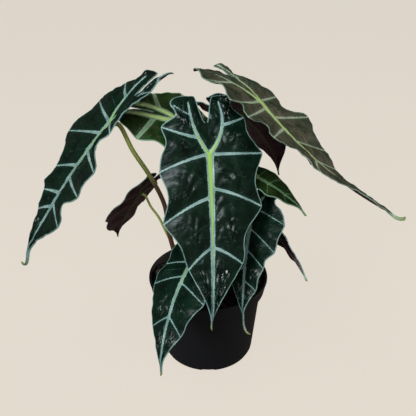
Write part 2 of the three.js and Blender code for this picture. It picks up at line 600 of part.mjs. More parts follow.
// Potting mix: fills the pot to just above its shoulder, with a lumpy surface and a hole for the crown
function soilGeometry() {
  const draw = drawFrom(soil.seed);
  const [edge, floor] = [shoulderInside - gap, pot.floor + gap];
  const profile = [[0, floor], [baseInside - pot.fillet - gap, floor]];
  profile.push([baseInside - gap, floor + pot.fillet]);
  profile.push([edge, shoulder - pot.insideStep], [edge, soil.top - soil.rimFall]);
  for (let i = 1; i <= soil.rings; i += 1) profile.push([edge * (1 - i / soil.rings), soil.top]);
  const geometry = latheOf(profile, soil.sides);
  geometry.deleteAttribute('normal');
  geometry.deleteAttribute('uv');
  const merged = mergeVertices(geometry, weldReach);
  const position = merged.attributes.position;
  for (let i = 0; i < position.count; i += 1) {
    const onTop = position.getZ(i) > soil.top - soil.topEase;
    if (onTop) position.setZ(i, soil.top + soil.lumps * (2 * draw() - 1));
  }
  const depth = 2 * (soil.top - crown.foot);
  const hole = new THREE.CylinderGeometry(crown.radius + gap, crown.radius + gap, depth, crown.sides)
    .rotateX(Math.PI / 2).translate(crown.x, crown.y, crown.foot - gap + depth / 2);
  return geometryOf(solidOf(merged).subtract(solidOf(hole)));
}

// Crown: the short stem that the stalks stand in
function crownGeometry() {
  const { radius, foot, top, chamfer } = crown;
  const profile = [[0, foot], [radius - chamfer, foot], [radius, foot + chamfer], [radius, crown.shoulder]];
  profile.push([radius - chamfer / 2, top - chamfer], [radius - chamfer, top], [0, top]);
  let solid = solidOf(latheOf(profile, crown.sides).translate(crown.x, crown.y, 0));
  for (const leaf of leaves) {
    solid = solid.subtract(solidOf(stalkGeometry(leaf, gap).translate(0, 0, -gap)));
  }
  return geometryOf(solid);
}

addPiece('pot', potGeometry(), 'pot');
addPiece('soil', soilGeometry(), 'soil');
addPiece('crown', crownGeometry(), 'crown');
for (const leaf of leaves) {
  addPiece(`blade_${leaf.name}`, bladeGeometry(leaf), leaf.finish);
  addPiece(`stalk_${leaf.name}`, stalkGeometry(leaf), 'stalk');
}

export default group;
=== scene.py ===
import math
import random
import bpy
import numpy as np
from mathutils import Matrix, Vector, noise


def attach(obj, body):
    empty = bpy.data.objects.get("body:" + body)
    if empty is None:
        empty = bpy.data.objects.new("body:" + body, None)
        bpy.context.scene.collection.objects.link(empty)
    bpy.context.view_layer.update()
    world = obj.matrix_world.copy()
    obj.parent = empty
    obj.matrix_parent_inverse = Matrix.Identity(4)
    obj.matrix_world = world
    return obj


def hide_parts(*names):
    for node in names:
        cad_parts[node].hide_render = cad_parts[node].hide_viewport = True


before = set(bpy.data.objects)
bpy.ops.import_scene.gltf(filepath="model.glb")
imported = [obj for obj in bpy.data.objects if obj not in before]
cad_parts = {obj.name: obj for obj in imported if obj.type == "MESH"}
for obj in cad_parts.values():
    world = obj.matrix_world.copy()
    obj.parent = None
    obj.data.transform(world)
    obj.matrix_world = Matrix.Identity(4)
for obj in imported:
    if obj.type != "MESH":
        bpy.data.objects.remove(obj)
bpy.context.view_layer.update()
bpy.ops.object.select_all(action="DESELECT")
mm = 0.001  # everything below is given in millimetres, apart from the stage and its lamps
scene = bpy.context.scene
print("frame loaded:", len(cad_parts), "solids")


def tint(red, green, blue):
    # a screen colour, 0 to 255, as the linear colour that a shader takes
    parts = [c / 255 for c in (red, green, blue)]
    return tuple(c / 12.92 if c <= 0.04045 else ((c + 0.055) / 1.055) ** 2.4 for c in parts) + (1.0,)


def mixed(a, b, t):
    return a + (b - a) * t


def smoothStep(low, high, x):
    t = np.clip((x - low) / (high - low), 0, 1)
    return t * t * (3 - 2 * t)


def finishPiece(piece, node):
    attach(piece, "root")
    if node:
        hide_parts(node)
    return piece


def smoothByAngle(piece, degrees):
    bpy.ops.object.select_all(action="DESELECT")
    piece.select_set(True)
    bpy.context.view_layer.objects.active = piece
    bpy.ops.object.shade_smooth_by_angle(angle=math.radians(degrees))
    piece.select_set(False)


def dress(piece, material):
    piece.data.materials.clear()
    piece.data.materials.append(material)


def addLayer(mesh, name, values):
    layer = mesh.attributes.new(name, "FLOAT", "POINT")
    layer.data.foreach_set("value", np.asarray(values, dtype=np.float32))


def feed(tree, socket, value):
    # a socket is linked, and anything else is a constant
    if isinstance(value, bpy.types.NodeSocket):
        tree.links.new(value, socket)
    else:
        socket.default_value = value


def addNode(tree, kind, values=None, **options):
    node = tree.nodes.new(kind)
    for key, value in options.items():
        setattr(node, key, value)
    for key, value in (values or {}).items():
        feed(tree, node.inputs[key], value)
    return node


def mathOf(tree, operation, *values):
    return addNode(tree, "ShaderNodeMath", dict(enumerate(values)), operation=operation).outputs[0]


def scaled(tree, value, factor):
    return mathOf(tree, "MULTIPLY", value, factor)


def blendColour(tree, mask, first, second):
    # a colour mix has its factor and colours at inputs 0, 6 and 7, and its result at output 2
    return addNode(tree, "ShaderNodeMix", {0: mask, 6: first, 7: second}, data_type="RGBA").outputs[2]


def blendValue(tree, mask, first, second):
    values = {"Value": mask, "To Min": first, "To Max": second}
    return addNode(tree, "ShaderNodeMapRange", values).outputs[0]


def rangeOf(tree, value, low, high, first=0.0, last=1.0, step="LINEAR"):
    values = {"Value": value, "From Min": low, "From Max": high, "To Min": first, "To Max": last}
    return addNode(tree, "ShaderNodeMapRange", values, interpolation_type=step).outputs[0]


def noiseOf(tree, vector, scale, detail=2.0, roughness=0.5):
    values = {"Vector": vector, "Scale": scale, "Detail": detail, "Roughness": roughness}
    return addNode(tree, "ShaderNodeTexNoise", values).outputs["Fac"]


def stretched(tree, vector, scale):
    return addNode(tree, "ShaderNodeMapping", {"Vector": vector, "Scale": scale}).outputs[0]


def placeOf(tree):
    return addNode(tree, "ShaderNodeTexCoord").outputs["Object"]


def attributeOf(tree, name):
    return addNode(tree, "ShaderNodeAttribute", attribute_name=name).outputs["Fac"]


def newGroup(name, inputs, outputs):
    group = bpy.data.node_groups.new(name, "ShaderNodeTree")
    for title, kind, value in inputs:
        socket = group.interface.new_socket(title, in_out="INPUT", socket_type=kind)
        if value is not None:
            socket.default_value = value
    for title, kind in outputs:
        group.interface.new_socket(title, in_out="OUTPUT", socket_type=kind)
    source = group.nodes.new("NodeGroupInput")
    sink = group.nodes.new("NodeGroupOutput")
    return group, source.outputs, sink.inputs


def placeGroup(tree, group, values):
    return addNode(tree, "ShaderNodeGroup", values, node_tree=group).outputs


def newMaterial(name, **constants):
    material = bpy.data.materials.new(name)
    material.use_nodes = True
    tree = material.node_tree
    skin = tree.nodes["Principled BSDF"]
    for key, value in constants.items():
        skin.inputs[key.replace("_", " ")].default_value = value
    return material, tree, skin


def addBump(tree, skin, height, distance, strength=1.0):
    values = {"Height": height, "Distance": distance * mm, "Strength": strength}
    tree.links.new(addNode(tree, "ShaderNodeBump", values).outputs[0], skin.inputs["Normal"])


cameraSettings = {"place": (-0.18, -436.94, 396.5), "pitchDown": 28.0, "lens": 45.0, "sensor": 36.0}


def addCamera(settings):
    place = [v * mm for v in settings["place"]]
    turn = (math.radians(90 - settings["pitchDown"]), 0, 0)
    bpy.ops.object.camera_add(location=place, rotation=turn)
    camera = bpy.context.object
    camera.data.lens = settings["lens"]
    camera.data.sensor_width = settings["sensor"]
    scene.camera = camera


addCamera(cameraSettings)

# the stage's places and sizes are in metres
stageSettings = {
    "floorSize": 9.0, "floorDrop": 0.0002, "roughness": 0.9, "grainScale": 900, "grainShare": 0.06,
    "paper": tint(222, 214, 202),
    "glow": 0.985,  # share of the floor's brightness that doesn't depend on the lights
    "floorTone": 0.03,
    "bounce": 0.1,  # the same glow as the plant sees it
    "worldLight": 0.11,
    "lamps": [
        # name, place, aim, size, watts, colour, whether glossy surfaces mirror it
        ("key", (-0.75, -0.95, 0.65), (0, 0, 0.15), 0.42, 11.5, (0.92, 0.98, 1.0), True),
        ("glint", (-0.1, -0.95, 1.05), (0, 0, 0.15), 0.46, 4.2, (0.86, 0.95, 1.0), True),
        ("top", (-0.35, -0.3, 1.3), (0, 0, 0.15), 0.8, 9, (0.96, 0.99, 1.0), False),
        ("front", (0.3, -1.1, 0.7), (0, 0, 0.15), 0.8, 3, (0.97, 0.99, 1.0), False),
        ("fill", (1.1, -0.5, 0.75), (0, 0, 0.15), 0.8, 2.5, (1.0, 0.95, 0.88), False),
        ("side", (1.05, 0.3, 0.36), (0, 0, 0.08), 0.4, 4.5, (1.0, 0.84, 0.68), True),
    ],
}


def addFloor(stage):
    bpy.ops.mesh.primitive_plane_add(size=stage["floorSize"], location=(0, 0, -stage["floorDrop"]))
    floor = bpy.context.object
    floor.name = "floor"
    bpy.ops.object.transform_apply(location=True)
    material, tree, skin = newMaterial("studio paper", Roughness=stage["roughness"], Specular_IOR_Level=0.0)
    grain = blendValue(tree, noiseOf(tree, placeOf(tree), stage["grainScale"]), 0.0, stage["grainShare"])
    shadow = [c * stage["floorTone"] for c in stage["paper"][:3]] + [1]
    tree.links.new(blendColour(tree, grain, shadow, stage["paper"]), skin.inputs["Base Color"])
    skin.inputs["Emission Color"].default_value = stage["paper"]
    seen = addNode(tree, "ShaderNodeLightPath").outputs["Is Camera Ray"]
    tree.links.new(blendValue(tree, seen, stage["bounce"], stage["glow"]), skin.inputs["Emission Strength"])
    floor.data.materials.append(material)


def addWorld(stage):
    world = bpy.data.worlds.new("studio")
    scene.world = world
    world.use_nodes = True
    tree = world.node_tree
    seen = addNode(tree, "ShaderNodeLightPath").outputs["Is Camera Ray"]
    backdrop = tree.nodes["Background"]
    backdrop.inputs["Color"].default_value = stage["paper"]
    tree.links.new(blendValue(tree, seen, stage["worldLight"], 1.0), backdrop.inputs["Strength"])


def addLamp(name, place, aim, size, power, colour, mirrored):
    bpy.ops.object.light_add(type="AREA", location=place)
    lamp = bpy.context.object
    lamp.name = "lamp " + name
    lamp.rotation_euler = (Vector(aim) - Vector(place)).to_track_quat("-Z", "Y").to_euler()
    lamp.data.shape = "DISK"
    lamp.data.size = size
    lamp.data.energy = power
    lamp.data.color = colour
    lamp.visible_glossy = mirrored
    lamp.visible_camera = False


addFloor(stageSettings)
addWorld(stageSettings)
for lampSettings in stageSettings["lamps"]:
    addLamp(*lampSettings)
scene.view_settings.view_transform = "Standard"
print("camera and stage set")


def makeSoftEdge():
    # 1 where the distance is below the width, with a ragged soft border
    titles = ("Distance", "Width", "Softness", "Ragged")
    inputs = [(title, "NodeSocketFloat", 0.0) for title in titles]
    group, given, result = newGroup("soft edge", inputs, [("Mask", "NodeSocketFloat")])
    distance = mathOf(group, "ADD", given["Distance"], given["Ragged"])
    low = mathOf(group, "SUBTRACT", given["Width"], given["Softness"])
    high = mathOf(group, "ADD", given["Width"], given["Softness"])
    group.links.new(rangeOf(group, distance, low, high, 1.0, 0.0, "SMOOTHSTEP"), result["Mask"])
    return group


# here and below a noise is its scale, detail and roughness, a stretch scales its axes, a cut is the range
# that is spread from 0 to 1, and a bump is its distance and strength
grainSettings = {
    "ragged": (85, 3.0, 0.6), "cloud": (8, 4.0, 0.55), "mottleCut": (0.3, 0.7),
    "streak": (60, 4.0, 0.6), "streakStretch": (0.12, 1, 1), "streakCut": (0.46, 0.64),
    "wave": (14, 2.0, 0.5), "waveStretch": (1, 0.6, 1),
    "fold": (30, 2.0, 0.5), "foldStretch": (1, 0.45, 1), "creaseWidth": 0.09, "creaseShare": 0.2,
    "patch": (7, 2.0, 0.5), "patchCut": (0.48, 0.62), "fine": (160, 3.0, 0.6), "fineShare": 0.02,
}


def makeLeafGrain(form):
    # raggedness of the vein borders, mottle and streaks of the panels, puckers and fine wrinkles
    inputs = [("Flat", "NodeSocketVector", None), ("Pucker", "NodeSocketFloat", 1.0)]
    titles = ("Ragged", "Mottle", "Streaks", "Height")
    group, given, result = newGroup("leaf grain", inputs, [(title, "NodeSocketFloat") for title in titles])

    def noiseAlong(key):
        vector = given["Flat"]
        if key + "Stretch" in form:
            vector = stretched(group, vector, form[key + "Stretch"])
        return noiseOf(group, vector, *form[key])

    ragged = mathOf(group, "SUBTRACT", noiseAlong("ragged"), 0.5)
    mottle = rangeOf(group, noiseAlong("cloud"), *form["mottleCut"])
    streaks = rangeOf(group, noiseAlong("streak"), *form["streakCut"])
    away = mathOf(group, "ABSOLUTE", mathOf(group, "SUBTRACT", noiseAlong("fold"), 0.5))
    crease = rangeOf(group, away, 0.0, form["creaseWidth"], 1.0, 0.0, "SMOOTHSTEP")
    patch = rangeOf(group, noiseAlong("patch"), *form["patchCut"])
    creases = scaled(group, scaled(group, crease, patch), form["creaseShare"])
    body = mathOf(group, "ADD", noiseAlong("wave"), creases)
    fine = scaled(group, noiseAlong("fine"), form["fineShare"])
    height = mathOf(group, "ADD", scaled(group, body, given["Pucker"]), fine)
    for title, value in zip(titles, (ragged, mottle, streaks, height)):
        group.links.new(value, result[title])
    return group


softEdge = makeSoftEdge()
leafGrain = makeLeafGrain(grainSettings)

# Colours of the panels between the veins, of the veins with the dim halo beside them, of the pale cores of
# the ribs, the margin and the tip, and how rough, puckered and glossy the face is
deepFinish = {
    "panel": tint(3, 15, 10), "panelLight": tint(9, 32, 21), "streak": tint(10, 24, 22), "streaks": 0.0,
    "halo": tint(26, 58, 48), "silver": tint(150, 176, 171), "silverDim": tint(98, 128, 123),
    "core": tint(138, 174, 84), "margin": tint(112, 142, 138), "tip": tint(126, 138, 72), "rough": 0.32,
    "pucker": 0.9, "marginWidth": 0.7, "gloss": 0.24, "coat": 0.42,
}
upperFinishes = {
    "deep": deepFinish,
    "calm": {
        **deepFinish, "panel": tint(2, 14, 9), "panelLight": tint(8, 31, 20),
        "halo": tint(22, 52, 44), "silver": tint(142, 168, 162), "silverDim": tint(88, 118, 112),
        "core": tint(128, 166, 84), "margin": tint(108, 138, 133), "tip": tint(120, 132, 78), "rough": 0.34,
        "pucker": 0.8, "marginWidth": 0.6, "gloss": 0.14, "coat": 0.26,
    },
    # painted sheen: the grey-olive panels and halo paint the reflection that this face shows at a grazing
    # angle, and its gloss is low for that; the veins, core and the dark green rim keep the leaf's own
    # colours
    "olive": {
        "panel": tint(34, 46, 34), "panelLight": tint(86, 84, 68), "streak": tint(22, 24, 18),
        "streaks": 0.75, "halo": tint(112, 116, 98), "silver": tint(152, 168, 144),
        "silverDim": tint(118, 136, 114),
        "core": tint(152, 184, 96), "margin": tint(104, 122, 106), "tip": tint(104, 120, 74), "rough": 0.55,
        "pucker": 0.6, "marginWidth": 0.6, "gloss": 0.1, "coat": 0.0,
        "rimTone": tint(18, 44, 34), "rimWidth": 5, "rimSoftness": 10,
    },
    # the young leaf's own yellower green with painted light: its greener panels also stand for light shining
    # through the thin blade
    "fresh": {
        "panel": tint(7, 24, 6), "panelLight": tint(18, 44, 11), "streak": tint(56, 60, 34), "streaks": 0.5,
        "halo": tint(40, 70, 38), "silver": tint(108, 140, 104), "silverDim": tint(72, 102, 68),
        "core": tint(132, 160, 104), "margin": tint(112, 140, 116), "tip": tint(96, 120, 60), "rough": 0.4,
        "pucker": 0.5, "marginWidth": 0.5, "gloss": 0.2, "coat": 0.06,
    },
    # painted light: brighter panels, veins and cores than the other finishes, standing in for the light that
    # this leaf lacks in the shade of the leaves in front
    "shaded": {
        "panel": tint(5, 26, 4), "panelLight": tint(32, 74, 19), "streak": tint(62, 60, 40), "streaks": 0.8,
        "halo": tint(84, 120, 70), "silver": tint(168, 198, 164), "silverDim": tint(128, 162, 124),
        "core": tint(200, 224, 140), "margin": tint(140, 174, 148), "tip": tint(120, 150, 70),
        "rough": 0.34, "pucker": 0.6, "marginWidth": 0.7, "gloss": 0.36, "coat": 0.1,
    },
}
# what all upper faces share: widths and softness of the drawn lines in mm, and how strongly each shows
upperPattern = {
    "raggedness": 2.2, "fineRaggedness": 0.5, "veinSoftness": 0.3, "haloWidth": 1.0, "haloSoftness": 2.2,
    "haloShare": 0.3, "thinSoftness": 0.25, "thinShare": 0.6, "marginSoftness": 0.3, "marginShare": 0.9,
    "coreSoftness": 0.6, "middleWidth": -1.0, "middleSoftness": 0.5, "middleShare": 0.35, "rimShare": 0.75,
    "coatRoughness": 0.22, "roughLess": 0.06, "roughMore": 0.1, "veinRough": 0.14, "veinCalm": 0.8,
    "bump": (2.0, 0.9),
}
underFinish = {
    "panel": tint(38, 12, 22), "panelLight": tint(66, 28, 38), "vein": tint(60, 42, 36),
    "core": tint(84, 80, 46), "rough": 0.45, "roughMore": 0.14, "gloss": 0.45, "coat": 0.1,
    "coatRoughness": 0.3, "pucker": 0.8, "raggedness": 0.6, "veinWidth": -0.4, "coreWidth": 0.3,
    "softness": 0.5, "veinShare": 0.7, "coreShare": 0.8, "bump": (0.9, 0.8),
}


def maskOf(tree, gap, width, softness, ragged):
    values = {"Distance": attributeOf(tree, gap), "Width": width, "Softness": softness, "Ragged": ragged}
    return placeGroup(tree, softEdge, values)["Mask"]


def leafSkin(name, look, coatRoughness):
    material, tree, skin = newMaterial("leaf " + name, Specular_IOR_Level=look["gloss"],
                                       Coat_Weight=look["coat"], Coat_Roughness=coatRoughness)
    flat = addNode(tree, "ShaderNodeUVMap", uv_map="flat").outputs[0]
    grain = placeGroup(tree, leafGrain, {"Flat": flat, "Pucker": look["pucker"]})
    return material, tree, skin, grain


def makeUpper(name, look):
    form = upperPattern
    material, tree, skin, grain = leafSkin(name, look, form["coatRoughness"])
    ragged = scaled(tree, grain["Ragged"], form["raggedness"])
    fineRagged = scaled(tree, grain["Ragged"], form["fineRaggedness"])
    vein = maskOf(tree, "veinGap", 0.0, form["veinSoftness"], ragged)
    halo = maskOf(tree, "veinGap", form["haloWidth"], form["haloSoftness"], ragged)
    middle = maskOf(tree, "veinGap", form["middleWidth"], form["middleSoftness"], fineRagged)
    thin = maskOf(tree, "thinGap", 0.0, form["thinSoftness"], grain["Ragged"])
    margin = maskOf(tree, "marginGap", look["marginWidth"], form["marginSoftness"], fineRagged)
    core = maskOf(tree, "coreGap", 0.0, form["coreSoftness"], fineRagged)
    panel = blendColour(tree, grain["Mottle"], look["panel"], look["panelLight"])
    panel = blendColour(tree, scaled(tree, grain["Streaks"], look["streaks"]), panel, look["streak"])
    panel = blendColour(tree, scaled(tree, halo, form["haloShare"]), panel, look["halo"])
    # the edge keeps the leaf's own dark green, where the painted sheen of the face stops
    if "rimTone" in look:
        rim = maskOf(tree, "marginGap", look["rimWidth"], look["rimSoftness"], ragged)
        panel = blendColour(tree, scaled(tree, rim, form["rimShare"]), panel, look["rimTone"])
    silver = blendColour(tree, grain["Mottle"], look["silverDim"], look["silver"])
    silver = blendColour(tree, scaled(tree, middle, form["middleShare"]), silver, look["halo"])
    faint = scaled(tree, thin, blendValue(tree, grain["Mottle"], 0.0, form["thinShare"]))
    colour = blendColour(tree, faint, panel, look["silverDim"])
    colour = blendColour(tree, scaled(tree, margin, form["marginShare"]), colour, look["margin"])
    colour = blendColour(tree, vein, colour, silver)
    colour = blendColour(tree, core, colour, look["core"])
    colour = blendColour(tree, attributeOf(tree, "tipShare"), colour, look["tip"])
    tree.links.new(colour, skin.inputs["Base Color"])
    smooth, dull = look["rough"] - form["roughLess"], look["rough"] + form["roughMore"]
    panelRough = blendValue(tree, grain["Mottle"], smooth, dull)
    rough = mathOf(tree, "ADD", panelRough, scaled(tree, vein, form["veinRough"]))
    tree.links.new(rough, skin.inputs["Roughness"])
    calm = mathOf(tree, "SUBTRACT", 1.0, scaled(tree, vein, form["veinCalm"]))
    addBump(tree, skin, scaled(tree, grain["Height"], calm), *form["bump"])
    return material


def makeUnder(look):
    material, tree, skin, grain = leafSkin("underside", look, look["coatRoughness"])
    ragged = scaled(tree, grain["Ragged"], look["raggedness"])
    vein = maskOf(tree, "veinGap", look["veinWidth"], look["softness"], ragged)
    core = maskOf(tree, "coreGap", look["coreWidth"], look["softness"], ragged)
    colour = blendColour(tree, grain["Mottle"], look["panel"], look["panelLight"])
    colour = blendColour(tree, scaled(tree, vein, look["veinShare"]), colour, look["vein"])
    colour = blendColour(tree, scaled(tree, core, look["coreShare"]), colour, look["core"])
    tree.links.new(colour, skin.inputs["Base Color"])
    rough = blendValue(tree, grain["Mottle"], look["rough"], look["rough"] + look["roughMore"])
    tree.links.new(rough, skin.inputs["Roughness"])
    addBump(tree, skin, grain["Height"], *look["bump"])
    return material


upperMaterials = {name: makeUpper(name, look) for name, look in upperFinishes.items()}
underMaterial = makeUnder(underFinish)


bladeForm = {
    # relief in mm on a leaf of the usual length, and shares of the length and the width
    "thickness": 0.8, "ribHeight": 0.5, "ribDepth": 1.5, "ribHalfWidth": 1.5, "ribSpread": 0.75,
    "ribLeft": 0.15, "veinDepth": 0.45, "veinHalfWidth": 0.8, "puff": 1.3, "wave": 1.6, "usualLength": 150,
    "tipHalfWidth": 0.5, "hookShare": 0.1, "kickShare": 0.3, "steps": 120, "backSteps": 48,
    "backReach": 0.45, "belly": 3.2, "taper": 2.3, "neck": 0.012, "shoulder": 1.012, "ribBend": 0.75,
    "sinusShare": 0.5, "tipFrom": 0.93, "smoothAngle": 50, "patternScale": 100, "patternShift": 7,
    "fanShare": 0.9,  # rows past this share of the lobe's last stretch fan out from its rib's end
    # rows and columns of the mesh, and how they crowd towards the rib
    "rowSpacing": 1.7, "columns": 20, "columnBend": 1.25, "lobeRows": (0.5, 0.7), "leastRows": 6,
    "mergeDigits": 3,
    # folds that cross each panel, and crumples that keep clear of the veins
    "ripple": 0.85, "ripples": 3.0, "foldSway": 2.2, "foldTurns": 4.4, "cleftRelief": 0.3, "cleftFade": 0.8,
    "crumple": 1.35, "crumpleSize": 10.0, "crumpleStretch": (1.4, 0.8), "crumpleClear": (0.5, 6),
    "fineCrumple": 0.32, "fineSize": 2.3, "fineSeed": 9,
    # drawn lines: half widths at start and end, and how far the short ones reach towards the edge
    "midribWidth": (3.5, 1.0), "lobeRibWidth": (2.1, 0.7), "veinWidth": (1.45, 0.65),
    "thinWidth": (0.2, 0.05), "coreWidth": (2.0, -1.2), "lobeCoreWidth": (1.1, -1.0), "midribTaper": 0.8,
    "smallShare": 0.35, "fullLength": 200, "veinSteps": 14, "ribSteps": 20, "thinReach": 0.8,
    "lobeVeinReach": 0.85, "lobeThinReach": 0.75, "onMidrib": 0.01,
    # these hold for a leaf or a half that names no value of its own, as the widths above do
    "lobeBelly": 2.4, "lobeRound": 0.62, "ribEnd": 0.38, "ribReach": 0.9, "cap": 0.38, "bow": 0.13,
    "sinusStraight": 0.55, "sinusBend": 1.0, "sweep": 1.2, "dipRound": 1.45, "scallop": 0.2,
}

# Each half of a leaf: where on its lobe's rib the lobe vein starts, where the next veins start on the
# midrib, where all of them end along the edge (-1 the lobe's end, 1 the tip), and the edge's width at dips
# and vein ends by turns. Bumps are place, spread and amount.
plainHalf = {
    "lobeStart": 0.5, "starts": [0.2, 0.5], "ends": [-0.62, 0.03, 0.32, 0.63],
    "edge": [0.9, 1, 0.9, 1, 0.9, 1, 0.9, 1, 0.9],
}


def halfLike(**changes):
    return {**plainHalf, **changes}


